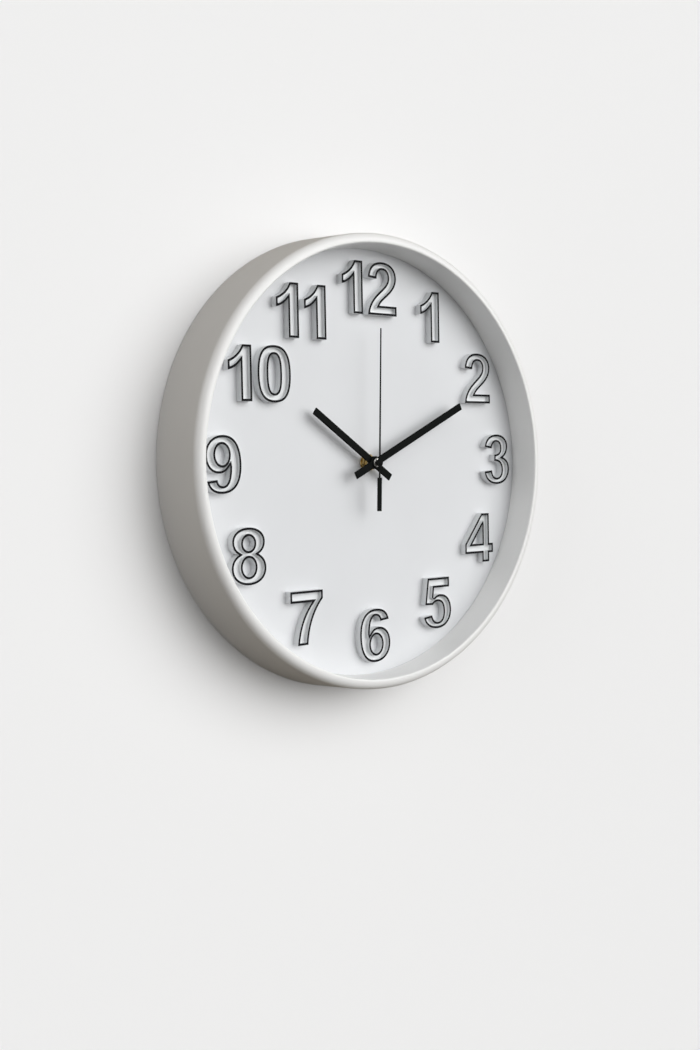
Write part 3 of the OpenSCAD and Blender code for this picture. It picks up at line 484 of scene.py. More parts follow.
class Effects:
    """The shader node groups that the finishes share, each built once.

    Attributes:
        made: The groups built so far, by name.
    """

    made: dict[str, bpy.types.NodeTree] = {}

    @classmethod
    def get(cls, name: str) -> bpy.types.NodeTree:
        """The group of that name, which is built the first time."""
        if name not in cls.made:
            cls.made[name] = getattr(cls, name)()
        return cls.made[name]

    @classmethod
    def use(cls, nodes: Nodes, name: str, inputs: dict[str, object]) -> bpy.types.Node:
        """Places a group in a tree with its own values.

        Args:
            nodes: The tree's nodes.
            name: The group's name.
            inputs: A value or an output socket for each input that it sets.

        Returns:
            The group's node.
        """
        node = nodes.tree.nodes.new("ShaderNodeGroup")
        node.node_tree = cls.get(name)
        for key, value in inputs.items():
            if isinstance(value, bpy.types.NodeSocket):
                nodes.tree.links.new(value, node.inputs[key])
            else:
                node.inputs[key].default_value = value
        return node

    @staticmethod
    def edge_wear() -> bpy.types.NodeTree:
        """A broken mask along the edges of a piece, where hands and cloths rub it."""
        n, given, out = new_group(
            "edge_wear", {"Radius": 0.0006, "Amount": 0.5}, {"Mask": "NodeSocketFloat"}
        )
        where = n.add("TexCoord", {}).outputs["Object"]
        soft = n.add("Bevel", {"Radius": given["Radius"]}, samples=4).outputs[0]
        true = n.add("NewGeometry", {}).outputs["Normal"]
        same = n.add("VectorMath", {0: soft, 1: true}, operation="DOT_PRODUCT").outputs["Value"]
        turned = n.ramp(n.maths("SUBTRACT", 1.0, same), 0.01, 0.22)
        broken = n.ramp(n.noise(where, 260.0, 4.0), 0.38, 0.62)
        mask = n.maths("MULTIPLY", n.maths("MULTIPLY", turned, broken), given["Amount"], True)
        n.tree.links.new(mask, out.inputs["Mask"])
        return n.tree

    @staticmethod
    def settled_dust() -> bpy.types.NodeTree:
        """A thin mask of dust on what faces up, thicker in drifts."""
        n, given, out = new_group("settled_dust", {"Amount": 0.1}, {"Mask": "NodeSocketFloat"})
        where = n.add("TexCoord", {}).outputs["Object"]
        normal = n.add("NewGeometry", {}).outputs["Normal"]
        up = n.add("SeparateXYZ", {0: normal}).outputs[2]
        drift = n.ramp(n.noise(where, 60.0, 5.0), 0.3, 0.75)
        mask = n.maths("MULTIPLY", n.ramp(up, 0.2, 1.0), drift)
        n.tree.links.new(n.maths("MULTIPLY", mask, given["Amount"], True), out.inputs["Mask"])
        return n.tree

    @classmethod
    def moulded(cls) -> bpy.types.NodeTree:
        """Moulded plastic, rubber or lacquer: spark grain, slow flow marks, wear and dust."""
        n, given, out = new_group(
            "moulded",
            {
                "Colour": (0.8, 0.8, 0.8, 1.0),
                "Worn": (0.9, 0.9, 0.9, 1.0),
                "Roughness": 0.4,
                "Grain": 1800.0,
                "Mottle": 0.05,
                "Wear": 0.3,
                "Dust": 0.05,
            },
            SURFACE_OUTPUTS,
        )
        where = n.add("TexCoord", {}).outputs["Object"]
        slow = n.noise(where, 16.0, 3.0)
        fine = n.noise(where, given["Grain"], 2.0)
        pits = n.add(
            "TexVoronoi", {"Vector": where, "Scale": given["Grain"]}, feature="SMOOTH_F1"
        ).outputs["Distance"]
        shade = n.maths("MULTIPLY", n.ramp(slow, 0.3, 0.7), given["Mottle"])
        colour = n.blend(shade, given["Colour"], (0.0, 0.0, 0.0, 1.0))
        wear = cls.use(n, "edge_wear", {"Radius": 0.0005, "Amount": given["Wear"]}).outputs["Mask"]
        colour = n.blend(wear, colour, given["Worn"])
        dust = cls.use(n, "settled_dust", {"Amount": given["Dust"]}).outputs["Mask"]
        colour = n.blend(dust, colour, DUST_ON_PLASTIC)
        rough = n.maths("ADD", given["Roughness"], n.ramp(slow, 0.3, 0.7, -0.05, 0.05))
        rough = n.maths("ADD", rough, n.ramp(fine, 0.3, 0.7, -0.03, 0.03))
        rough = n.maths("ADD", rough, n.maths("MULTIPLY", dust, 0.5), True)
        height = n.maths("ADD", n.maths("MULTIPLY", fine, 0.6), n.maths("MULTIPLY", pits, 0.4))
        for key, value in (("Colour", colour), ("Roughness", rough), ("Height", height)):
            n.tree.links.new(value, out.inputs[key])
        return n.tree

    @classmethod
    def metal(cls) -> bpy.types.NodeTree:
        """Rolled or turned metal: fine lines along one way, tarnish, bright rubbed edges."""
        n, given, out = new_group(
            "metal",
            {
                "Colour": (0.6, 0.6, 0.6, 1.0),
                "Worn": (0.8, 0.8, 0.8, 1.0),
                "Roughness": 0.3,
                "Grain": 900.0,
                "Mottle": 0.25,
                "Wear": 0.5,
                "Dust": 0.0,
            },
            SURFACE_OUTPUTS,
        )
        where = n.add("TexCoord", {}).outputs["Object"]
        drawn_out = n.add(
            "VectorMath", {0: where, 1: (1.0, 1.0, 0.06)}, operation="MULTIPLY"
        ).outputs[0]
        lines = n.noise(drawn_out, given["Grain"], 3.0)
        slow = n.noise(where, 90.0, 4.0)
        tarnish = n.maths("MULTIPLY", n.ramp(slow, 0.35, 0.7), given["Mottle"])
        colour = n.blend(tarnish, given["Colour"], TARNISH)
        wear = cls.use(n, "edge_wear", {"Radius": 0.00025, "Amount": given["Wear"]}).outputs["Mask"]
        colour = n.blend(wear, colour, given["Worn"])
        dust = cls.use(n, "settled_dust", {"Amount": given["Dust"]}).outputs["Mask"]
        colour = n.blend(dust, colour, DUST_ON_METAL)
        rough = n.maths("ADD", given["Roughness"], n.ramp(lines, 0.3, 0.7, -0.08, 0.08))
        rough = n.maths("ADD", rough, n.maths("MULTIPLY", tarnish, 0.4), True)
        for key, value in (("Colour", colour), ("Roughness", rough), ("Height", lines)):
            n.tree.links.new(value, out.inputs[key])
        return n.tree


@dataclass(frozen=True)
class Finish:
    """A procedural material.

    Attributes:
        name: Its name.
        colour: Its colour.
        worn: Its colour where edges are rubbed.
        surface: The kind of surface.
        roughness: Its middle roughness.
        grain: The scale of its grain, in waves to the metre.
        depth: How deep its grain is, in metres.
        mottle: How far its colour drifts.
        wear: How strong the wear along its edges is.
        dust: How much dust lies on it.
        coat: The weight of a clear coat.
        shine: Its specular level.
        banded: Whether a pale band is printed round it, as on a battery's sleeve.
    """

    name: str
    colour: Colour
    worn: Colour
    surface: Surface = Surface.MOULDED
    roughness: float = 0.4
    grain: float = 1800.0
    depth: float = 0.00002
    mottle: float = 0.05
    wear: float = 0.3
    dust: float = 0.05
    coat: float = 0.0
    shine: float = 0.5
    banded: bool = False

    def material(self) -> bpy.types.Material:
        """The material, which is built the first time it is asked for."""
        found = bpy.data.materials.get(f"{self.name}_finish")
        if found:
            return found
        material = bpy.data.materials.new(f"{self.name}_finish")
        material.use_nodes = True
        n = Nodes(material.node_tree)
        shader = material.node_tree.nodes["Principled BSDF"]
        base: object = (*self.colour, 1.0)
        if self.banded:
            base = self.band(n)
        look = Effects.use(
            n,
            self.surface.value,
            {
                "Colour": base,
                "Worn": (*self.worn, 1.0),
                "Roughness": self.roughness,
                "Grain": self.grain,
                "Mottle": self.mottle,
                "Wear": self.wear,
                "Dust": self.dust,
            },
        )
        bump = n.add("Bump", {"Height": look.outputs["Height"], "Distance": self.depth, "Strength": 1.0})
        link = material.node_tree.links.new
        link(look.outputs["Colour"], shader.inputs["Base Color"])
        link(look.outputs["Roughness"], shader.inputs["Roughness"])
        link(bump.outputs["Normal"], shader.inputs["Normal"])
        shader.inputs["Metallic"].default_value = 1.0 if self.surface is Surface.METAL else 0.0
        shader.inputs["Specular IOR Level"].default_value = self.shine
        shader.inputs["Coat Weight"].default_value = self.coat
        shader.inputs["Coat Roughness"].default_value = 0.12
        return material

    def band(self, n: Nodes) -> bpy.types.NodeSocket:
        """The colour of a printed sleeve: a pale band and a thin line near one end.

        Args:
            n: The material's nodes.

        Returns:
            The colour's socket.
        """
        where = n.add("TexCoord", {}).outputs["Object"]
        along = n.add("SeparateXYZ", {0: where}).outputs[0]
        wide = n.maths(
            "MULTIPLY",
            n.maths("GREATER_THAN", along, BAND_SPAN[0]),
            n.maths("LESS_THAN", along, BAND_SPAN[1]),
        )
        line = n.maths(
            "MULTIPLY",
            n.maths("GREATER_THAN", along, LINE_SPAN[0]),
            n.maths("LESS_THAN", along, LINE_SPAN[1]),
        )
        return n.blend(n.maths("MAXIMUM", wide, line), (*self.colour, 1.0), BAND_PRINT)


CASE_WHITE = Finish(
    "case_white", (0.86, 0.86, 0.85), (0.93, 0.93, 0.92),
    roughness=0.36, grain=2600.0, depth=6e-6, mottle=0.03, wear=0.35
)
DIAL_WHITE = Finish(
    "dial_white", (0.735, 0.748, 0.765), (0.8, 0.81, 0.82),
    roughness=0.62, grain=3200.0, depth=1.2e-5, mottle=0.015, wear=0.1, dust=0.0
)
NUMERAL_WHITE = Finish(
    "numeral_white", (0.75, 0.765, 0.775), (0.92, 0.92, 0.92),
    roughness=0.5, grain=4000.0, depth=5e-6, mottle=0.02, wear=0.1
)
FOIL_BLACK = Finish(
    "foil_black", (0.012, 0.012, 0.014), (0.05, 0.05, 0.05),
    roughness=0.5, grain=5200.0, depth=4e-6, mottle=0.2, wear=0.02, dust=0.01, shine=0.04
)
HAND_BLACK = Finish(
    "hand_black", (0.0115, 0.0125, 0.012), (0.012, 0.012, 0.012),
    roughness=0.6, grain=3600.0, depth=2e-6, mottle=0.1, wear=0.02, dust=0.0, shine=0.0
)
MOVEMENT_BLACK = Finish(
    "movement_black", (0.03, 0.03, 0.032), (0.09, 0.09, 0.09),
    roughness=0.55, grain=1500.0, depth=4e-5, mottle=0.15, wear=0.35, dust=0.12
)
NATURAL = Finish("natural_plastic", (0.78, 0.75, 0.66), (0.86, 0.84, 0.78), roughness=0.42, depth=5e-6)
KNOB_GREY = Finish(
    "knob_grey", (0.30, 0.31, 0.32), (0.42, 0.42, 0.43),
    roughness=0.48, depth=2e-5, mottle=0.1,
)
RUBBER = Finish(
    "rubber_black", (0.025, 0.025, 0.025), (0.05, 0.05, 0.05),
    roughness=0.8, grain=900.0, depth=3e-5,
)
BOARD = Finish(
    "board_green", (0.02, 0.13, 0.05), (0.30, 0.24, 0.10),
    roughness=0.3, grain=700.0, coat=0.3,
)
CHIP = Finish("chip_black", (0.015, 0.015, 0.015), (0.04, 0.04, 0.04), roughness=0.25)
SLEEVE = Finish(
    "battery_sleeve", (0.055, 0.075, 0.10), (0.2, 0.22, 0.25),
    roughness=0.28, grain=900.0, depth=4e-6, mottle=0.1, wear=0.25, coat=0.4, banded=True
)
ZINC = Finish(
    "zinc_steel", (0.58, 0.59, 0.60), (0.78, 0.78, 0.78),
    Surface.METAL, 0.36, 700.0, 1e-5, 0.3, 0.6, 0.05,
)
NICKEL = Finish(
    "nickel_plate", (0.66, 0.65, 0.62), (0.8, 0.79, 0.77),
    Surface.METAL, 0.26, 1400.0, 4e-6, 0.12, 0.4, 0.0,
)
BRASS = Finish(
    "turned_brass", (0.72, 0.52, 0.20), (0.86, 0.70, 0.36),
    Surface.METAL, 0.27, 1400.0, 6e-6, 0.35, 0.5, 0.0,
)
COPPER = Finish(
    "copper_wire", (0.55, 0.22, 0.09), (0.75, 0.4, 0.2),
    Surface.METAL, 0.3, 1200.0, 5e-6, 0.2, 0.3, 0.0,
)
IRON = Finish(
    "soft_iron", (0.36, 0.36, 0.37), (0.6, 0.6, 0.6),
    Surface.METAL, 0.45, 600.0, 1e-5, 0.3, 0.4, 0.0,
)
MAGNET = Finish(
    "ferrite", (0.05, 0.05, 0.055), (0.15, 0.15, 0.15),
    roughness=0.5, grain=1200.0, depth=1e-5, mottle=0.3,
)


def dress(node: str, finish: Finish, edge: float = 0.1) -> None:
    """Gives a CAD node its finish and rounds its edges with modifiers, which leave its mesh alone.

    Args:
        node: The CAD node.
        finish: Its finish.
        edge: The width of the rounding of its edges.
    """
    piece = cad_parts[node]
    piece.data.materials.clear()
    piece.data.materials.append(finish.material())
    weld = piece.modifiers.new("weld", "WELD")
    weld.merge_threshold = 2e-6
    flats = piece.modifiers.new("flats", "DECIMATE")
    flats.decimate_type = "DISSOLVE"
    flats.angle_limit = math.radians(0.5)
    edges = piece.modifiers.new("edges", "BEVEL")
    edges.width = edge * MM
    edges.segments = 2
    edges.limit_method = "ANGLE"
    edges.angle_limit = math.radians(30)
    edges.use_clamp_overlap = False
    piece.modifiers.new("normals", "WEIGHTED_NORMAL").keep_sharp = True
    LOG.info("%s: %s", node, finish.name)


# ------------------------------------------------------------------ case and dial


@dataclass
class Case:
    """The white moulded case: outer wall, round lip and deep inner wall.

    Attributes:
        draft: How far the outer wall draws in from the wall to the lip.
        wall: The thickness of its walls.
        lip_w: The width of the lip.
        lip_round: The outer rounding of the lip.
        lip_edge: The inner rounding of the lip.
        inner_draft: How far the inner wall draws in from the lip to the dial.
        rib_count: The number of ribs inside its outer wall.
        sides: How many flats go round.
    """

    draft: float = 2.0
    wall: float = 2.2
    lip_w: float = 7.0
    lip_round: float = 5.4
    lip_edge: float = 1.2
    inner_draft: float = 0.8
    rib_count: int = 24
    sides: int = 288

    def profile(self) -> list[Point]:
        """The section of the case, from its back edge out over the lip and in to the dial."""
        _, high = measured("case_ring")
        radius, depth = high.x, high.z
        front = radius - self.draft
        lip_in = front - self.lip_w
        seen = lip_in - self.inner_draft
        inner_out = seen + self.wall
        channel = front - self.wall
        seat = measured("numeral_1")[0].z
        points: list[Point] = [
            (radius - self.wall + 0.3, 0.0), (radius - 0.5, 0.0), (radius - 0.15, 0.15),
            (radius, 0.5),
        ]
        rise = depth - self.lip_round
        points += [(radius - self.draft * z / rise, z) for z in (6.0, 12.0, 18.0, 24.0, 30.0)]
        for i in range(15):
            a = math.radians(90 * i / 14)
            points.append(
                (front - self.lip_round * (1 - math.cos(a)), rise + self.lip_round * math.sin(a))
            )
        edge = (lip_in + self.lip_edge, depth - self.lip_edge)
        for i in range(9):
            a = math.radians(90 + 90 * i / 8)
            points.append((edge[0] + self.lip_edge * math.cos(a), edge[1] + self.lip_edge * math.sin(a)))
        points += [(seen + 0.02, seat + 0.5), (seen + 0.12, seat + 0.14), (seen + 0.4, seat)]
        points += [(inner_out, seat), (inner_out, depth - self.wall - 1)]
        points += [(channel - self.lip_round + self.wall, depth - self.wall), (channel, rise)]
        points += [(radius - self.wall, 0.3)]
        return points

    def build(self) -> None:
        """Builds the case and the ribs inside its outer wall."""
        shell = Shell()
        shell.turned(self.profile(), self.sides)
        shell.piece("case", Body.CLOCK, "case_white", [CASE_WHITE], ("case_ring",), 40.0)
        radius = measured("case_ring")[1].x
        back = measured("dial_plate")[1].z - 2.2
        ribs = Shell()
        for i in range(self.rib_count):
            angle = (i + 0.5) * 360 / self.rib_count
            if abs((angle - 30) % 60) < 6 or abs((angle - 30) % 60) > 54:
                continue
            low, high = radius - self.wall - 1.3, radius - self.wall + 0.4
            ribs.slab([moved(rectangle((-0.6, low), (0.6, high), 0.25), (0, 0), angle)], 2.5, back - 0.3, 0.2)
        ribs.piece("case_ribs", Body.CLOCK, "case_white", [CASE_WHITE])


@dataclass
class Dial:
    """The dial plate, with the ribs and ejector marks of its back.

    Attributes:
        thickness: The thickness of the plate.
        hole_r: The radius of the hole for the bush.
        screw_hole_r: The radius of its screw holes.
        screw_circle_r: The radius of the circle that its screws stand on.
        screw_count: The number of its screws.
        rib_w: The width of the ribs.
        rib_h: The height of the frame round the movement.
        rib_gap: The room between the frame and the movement.
        spokes: The number of spokes from the frame to the ring.
    """

    thickness: float = 1.8
    hole_r: float = 4.15
    screw_hole_r: float = 1.0
    screw_circle_r: float = 145.7
    screw_count: int = 6
    rib_w: float = 1.4
    rib_h: float = 3.0
    rib_gap: float = 0.4
    spokes: int = 12

    def build(self) -> None:
        """Builds the plate with the ribs on its back."""
        low, high = measured("dial_plate")
        radius, face = high.x, high.z
        back = face - self.thickness
        shell = Shell()
        holes = [circle(self.hole_r, 64)[::-1]]
        for i in range(self.screw_count):
            a = math.radians((i + 0.5) * 360 / self.screw_count)
            at = (self.screw_circle_r * math.cos(a), self.screw_circle_r * math.sin(a))
            holes.append(circle(self.screw_hole_r, 24, at)[::-1])
        shell.slab([circle(radius, 288), *holes], back, face, 0.12)
        shell.piece("dial", Body.CLOCK, "dial_white", [DIAL_WHITE], ("dial_plate",))
        self.ribs(back, low.z)

    def ribs(self, back: float, lowest: float) -> None:
        """Builds the frame round the movement, the rings, the spokes and the ejector marks.

        Args:
            back: The height of the back of the plate.
            lowest: The lowest height of the ribs.
        """
        (x0, y0, _), (x1, y1, _) = measured("movement_front")
        ribs = Shell()
        gap, wide = self.rib_gap, self.rib_gap + self.rib_w
        outer = rectangle((x0 - wide, y0 - wide), (x1 + wide, y1 + wide), 4.8, 6)
        inner = rectangle((x0 - gap, y0 - gap), (x1 + gap, y1 + gap), 3.4, 6)[::-1]
        ribs.slab([outer, inner], lowest, back + 0.2, 0.3)
        shallow = back - self.rib_h / 2
        ring_r = measured("dial_plate")[1].x * 0.62
        for radius in (ring_r, ring_r + 36):
            ribs.slab([circle(radius + self.rib_w, 180), circle(radius, 180)[::-1]], shallow, back + 0.2, 0.3)
        for i in range(self.spokes):
            angle = (i + 0.5) * 360 / self.spokes
            start = 46.0
            ribs.slab(
                [moved(rectangle((-0.6, start), (0.6, ring_r + 0.3), 0.2), (0, 0), angle)],
                shallow + 0.2, back + 0.2, 0.25,
            )
            ribs.slab(
                [moved(
                    rectangle((-0.6, ring_r + self.rib_w - 0.3), (0.6, ring_r + 36.3), 0.2), (0, 0), angle
                )],
                shallow + 0.2, back + 0.2, 0.25,
            )
        for ring, count in ((70.0, 6), (110.0, 12)):
            for i in range(count):
                a = math.radians(i * 360 / count)
                at = (ring * math.cos(a), ring * math.sin(a))
                ribs.slab([circle(3.4, 32, at), circle(3.0, 32, at)[::-1]], back - 0.25, back + 0.2, 0.08)
        ribs.piece("dial_ribs", Body.CLOCK, "dial_white", [DIAL_WHITE])


# ------------------------------------------------------------------ numerals

ZERO_EYE = drawn(
    (8.4, 17.5),
    [((8.4, 26), (9.6, 29.7), (13, 29.7)), ((16.4, 29.7), (17.6, 26), (17.6, 17.5)),
     ((17.6, 9), (16.4, 5.3), (13, 5.3)), ((9.6, 5.3), (8.4, 9), (8.4, 17.5))],
)


def oval(centre: Point, half_w: float, half_h: float) -> Ring:
    """An upright ellipse, clockwise, as the eye of a digit."""
    return [(centre[0] + half_w * x, centre[1] + half_h * y) for x, y in circle(1.0, 60)][::-1]


DIGITS: dict[int, list[Ring]] = {
    0: [
        drawn((0, 17.5), [
            ((0, 30), (4, 35.5), (13, 35.5)), ((22, 35.5), (26, 30), (26, 17.5)),
            ((26, 5), (22, -0.5), (13, -0.5)), ((4, -0.5), (0, 5), (0, 17.5))]),
        ZERO_EYE,
    ],
    1: [drawn((9.7, 0), [
        ((18, 0),), ((18, 35),), ((11, 35),), ((9.2, 31), (6, 27.4), (0, 25.2)), ((0, 19),),
        ((4.4, 20), (7, 21.8), (9.7, 24.6)), ((9.7, 0),)])],
    2: [drawn((0, 0), [
        ((25.5, 0),), ((25.5, 6.4),), ((10.2, 6.4),), ((13, 11.6), (25.4, 15.6), (25.4, 25.2)),
        ((25.4, 31.4), (20.4, 35.5), (12.8, 35.5)), ((5.4, 35.5), (0.9, 31.8), (0.4, 24.8)),
        ((7.9, 24.1),), ((8.3, 28.2), (10, 30.2), (13, 30.2)), ((16, 30.2), (17.9, 28.2), (17.9, 25.2)),
        ((17.9, 17.2), (2.2, 14.8), (0, 0.6)), ((0, 0),)])],
    3: [drawn((0.4, 26.4), [
        ((1.2, 32.2), (5.8, 35.5), (12.6, 35.5)), ((19.4, 35.5), (23.8, 32), (23.8, 27)),
        ((23.8, 23.4), (22.2, 20.6), (19.2, 18.9)), ((23.2, 17.6), (25.4, 14.7), (25.4, 10.8)),
        ((25.4, 3.8), (20.2, -0.5), (12.6, -0.5)), ((5.2, -0.5), (0.4, 3.2), (0, 8.8)), ((7.6, 9.6),),
        ((8, 5.9), (9.8, 4.2), (12.6, 4.2)), ((15.7, 4.2), (17.6, 6.4), (17.6, 10)),
        ((17.6, 14.2), (15, 16.3), (10, 16.3)), ((10.2, 20.9),), ((14.4, 21.1), (16.3, 22.5), (16.3, 25.4)),
        ((16.3, 28.5), (14.8, 30.1), (12.3, 30.1)), ((9.8, 30.1), (8.2, 28.7), (7.6, 25.4)),
        ((0.4, 26.4),)])],
    4: [
        drawn((17.2, 0), [
            ((24.3, 0),), ((24.3, 6.5),), ((28.3, 6.5),), ((28.3, 13.3),), ((24.4, 13.3),), ((24.4, 35),),
            ((16.8, 35),), ((0, 13.4),), ((0, 6.5),), ((17.2, 6.5),), ((17.2, 0),)]),
        drawn((17.6, 26.8), [((17.6, 13.3),), ((7.2, 13.3),), ((17.6, 26.8),)]),
    ],
    5: [drawn((3.9, 35), [
        ((24.6, 35),), ((24.6, 28),), ((10, 28),), ((9.1, 20.5),), ((11.2, 22.3), (13.4, 23.2), (15.9, 23.2)),
        ((22, 23.2), (26.2, 18.7), (26.2, 12)), ((26.2, 4.6), (20.8, -0.5), (13, -0.5)),
        ((5.6, -0.5), (0.9, 2.8), (0, 8)), ((7.7, 9),), ((8.6, 5.6), (10.3, 3.9), (13.2, 3.9)),
        ((16.8, 3.9), (18.8, 6.6), (18.8, 11.3)), ((18.8, 15.8), (16.8, 18.3), (13.3, 18.3)),
        ((11.2, 18.3), (9.7, 17.5), (8.7, 16.1)), ((1.3, 16.5),), ((3.9, 35),)])],
    6: [
        drawn((25.7, 27.7), [
            ((24.6, 32.9), (20.8, 35.5), (14.6, 35.5)), ((5.4, 35.5), (0, 29.4), (0, 18)),
            ((0, 6.3), (4.6, -0.5), (13.4, -0.5)), ((21.6, -0.5), (26.8, 4.9), (26.8, 12)),
            ((26.8, 18.5), (22.7, 23.1), (16.8, 23.1)), ((13.4, 23.1), (10.8, 21.7), (8.5, 18.3)),
            ((8.5, 26.1), (10.4, 30.7), (14, 30.7)), ((16.4, 30.7), (17.6, 29.5), (18, 26.9)),
            ((25.7, 27.7),)]),
        oval((14.3, 11.6), 5, 6.4),
    ],
    7: [drawn((0, 35), [
        ((26.6, 35),), ((26.6, 29.4),), ((20, 22.8), (14.8, 12.5), (13.9, 0)), ((5.4, 0),),
        ((6.6, 10.8), (10.4, 19.8), (17.6, 27.5)), ((0, 27.5),), ((0, 35),)])],
    8: [
        drawn((5.7, 18.8), [
            ((2.5, 20.5), (0.8, 23.1), (0.8, 26.5)), ((0.8, 31.8), (5.8, 35.5), (13.2, 35.5)),
            ((20.6, 35.5), (25.6, 31.8), (25.6, 26.5)), ((25.6, 23.1), (23.9, 20.5), (20.7, 18.8)),
            ((24.4, 16.9), (26.4, 13.9), (26.4, 10)), ((26.4, 3.8), (21, -0.5), (13.2, -0.5)),
            ((5.4, -0.5), (0, 3.8), (0, 10)), ((0, 13.9), (2, 16.9), (5.7, 18.8))]),
        oval((13.2, 25.5), 4.3, 4.6),
        oval((13.2, 10.6), 4.9, 5.9),
    ],
}
DIGITS[9] = [[(26.8 - x, 35 - y) for x, y in ring] for ring in DIGITS[6]]
DIGIT_W = (26, 18, 25.5, 25.4, 28.3, 26.2, 26.8, 26.6, 26.4, 26.8)


def area(ring: Ring) -> float:
    """The signed area of an outline, which is above zero where it runs counter-clockwise."""
    return sum(a[0] * b[1] - b[0] * a[1] for a, b in zip(ring, ring[1:] + ring[:1])) / 2


@dataclass
class Numeral:
    """A raised numeral: white sides, a foiled black rim and a sunk white face.

    Attributes:
        hour: The hour that it shows.
        rim: The width of its rim.
        sink: How deep its face lies below the rim.
        edge: The rounding of the rim's edges.
        gap: The space between two digits.
    """

    hour: int
    rim: float = 1.5
    sink: float = 2.4
    edge: float = 0.2
    gap: float = 4.4

    def digit(self, shell: Shell, outlines: list[Ring], low: float, high: float) -> None:
        """Adds one digit.

        Args:
            shell: The shell that it is added to.
            outlines: Its outline and its eyes, in place on the dial.
            low: The height of the dial.
            high: The height of its rim.
        """
        turns = [math.pi / 2 * k / 3 for k in range(4)]
        foot, floor = [], []
        for k, outline in enumerate(outlines):
            if (area(outline) > 0) != (k == 0):
                outline = outline[::-1]
            walls = [shell.ring(outline, low)]
            walls += [
                shell.ring(
                    inset(outline, self.edge * (1 - math.cos(a))), high - self.edge * (1 - math.sin(a))
                )
                for a in turns
            ]
            shell.stack(walls, [0, 0, 1, 1])
            inner = deep_inset(outline, self.rim)
            faces = [
                shell.ring(inset(inner, -self.edge * (1 - math.cos(a))), high - self.edge * (1 - math.sin(a)))
                for a in reversed(turns)
            ]
            faces.append(shell.ring(inner, high - self.sink + 0.15))
            faces.append(shell.ring(inset(inner, 0.15), high - self.sink))
            shell.stack(faces, [1, 1, 0, 0, 0])
            shell.cover([walls[-1], faces[0]], 1)
            foot.append(walls[0])
            floor.append(faces[-1])
        shell.cover(foot)
        shell.cover(floor)

    def build(self) -> None:
        """Builds the numeral where the CAD node has it."""
        node = f"numeral_{self.hour}"
        low, high = measured(node)
        digits = [self.hour] if self.hour < 10 else [1, self.hour - 10]
        starts = [0.0, DIGIT_W[1] + self.gap]
        left = min(x + start for d, start in zip(digits, starts) for x, _ in DIGITS[d][0])
        foot = min(y for d in digits for _, y in DIGITS[d][0])
        shell = Shell()
        for d, start in zip(digits, starts):
            place = (low.x - left + start, low.y - foot)
            self.digit(shell, [moved(ring, place) for ring in DIGITS[d]], low.z, high.z)
        shell.piece(f"{node}_foiled", Body.CLOCK, "numeral_white", [NUMERAL_WHITE, FOIL_BLACK], (node,))


# ------------------------------------------------------------------ hands


@dataclass
class BarHand:
    """A straight black hand with bevelled edges and a round boss.

    Attributes:
        node: The CAD node that it stands for.
        body: The body that it rides on.
        length: Its length from the arbor.
        tail: Its length behind the arbor.
        angle: Its clockwise angle from twelve.
        bore_r: The radius of its hole.
        width: Its width.
        boss_r: The radius of its boss.
        bevel: The width of its bevel.
    """

    node: str
    body: Body
    length: float
    tail: float
    angle: float
    bore_r: float
    width: float = 4.9
    boss_r: float = 4.3
    bevel: float = 0.42

    def outline(self) -> Ring:
        """The hand's outline, pointing up."""
        half = self.width / 2
        turn = math.degrees(math.acos(half / self.boss_r))
        right = [
            (self.boss_r * math.cos(math.radians(a)), self.boss_r * math.sin(math.radians(a)))
            for a in [-turn + 2 * turn * i / 16 for i in range(17)]
        ]
        left = [(-x, -y) for x, y in right]
        ends = rectangle((-half, -self.tail), (half, self.length), 0.35, 3)
        return ends[0:8] + right + ends[8:16] + left

    def build(self) -> None:
        """Builds the hand at its place and angle."""
        low, high = measured(self.node)
        outline = moved(self.outline(), (0, 0), self.angle)
        bore = circle(self.bore_r, 48)[::-1]
        shell = Shell()
        bottom, top = [], []
        for ring, bevel in ((outline, self.bevel), (bore, 0.08)):
            levels = [
                (0.12, low.z), (0.03, low.z + 0.06), (0.0, low.z + 0.16), (0.0, high.z - bevel),
                (bevel * 0.12, high.z - bevel * 0.8), (bevel * 0.88, high.z - bevel * 0.1),
                (bevel * 1.1, high.z),
            ]
            rings = [shell.ring(inset(ring, away), z) for away, z in levels]
            shell.stack(rings)
            bottom.append(rings[0])
            top.append(rings[-1])
        shell.cover(bottom)
        shell.cover(top)
        shell.piece(f"{self.node}_lacquered", self.body, "hand_black", [HAND_BLACK], (self.node,), 20.0)


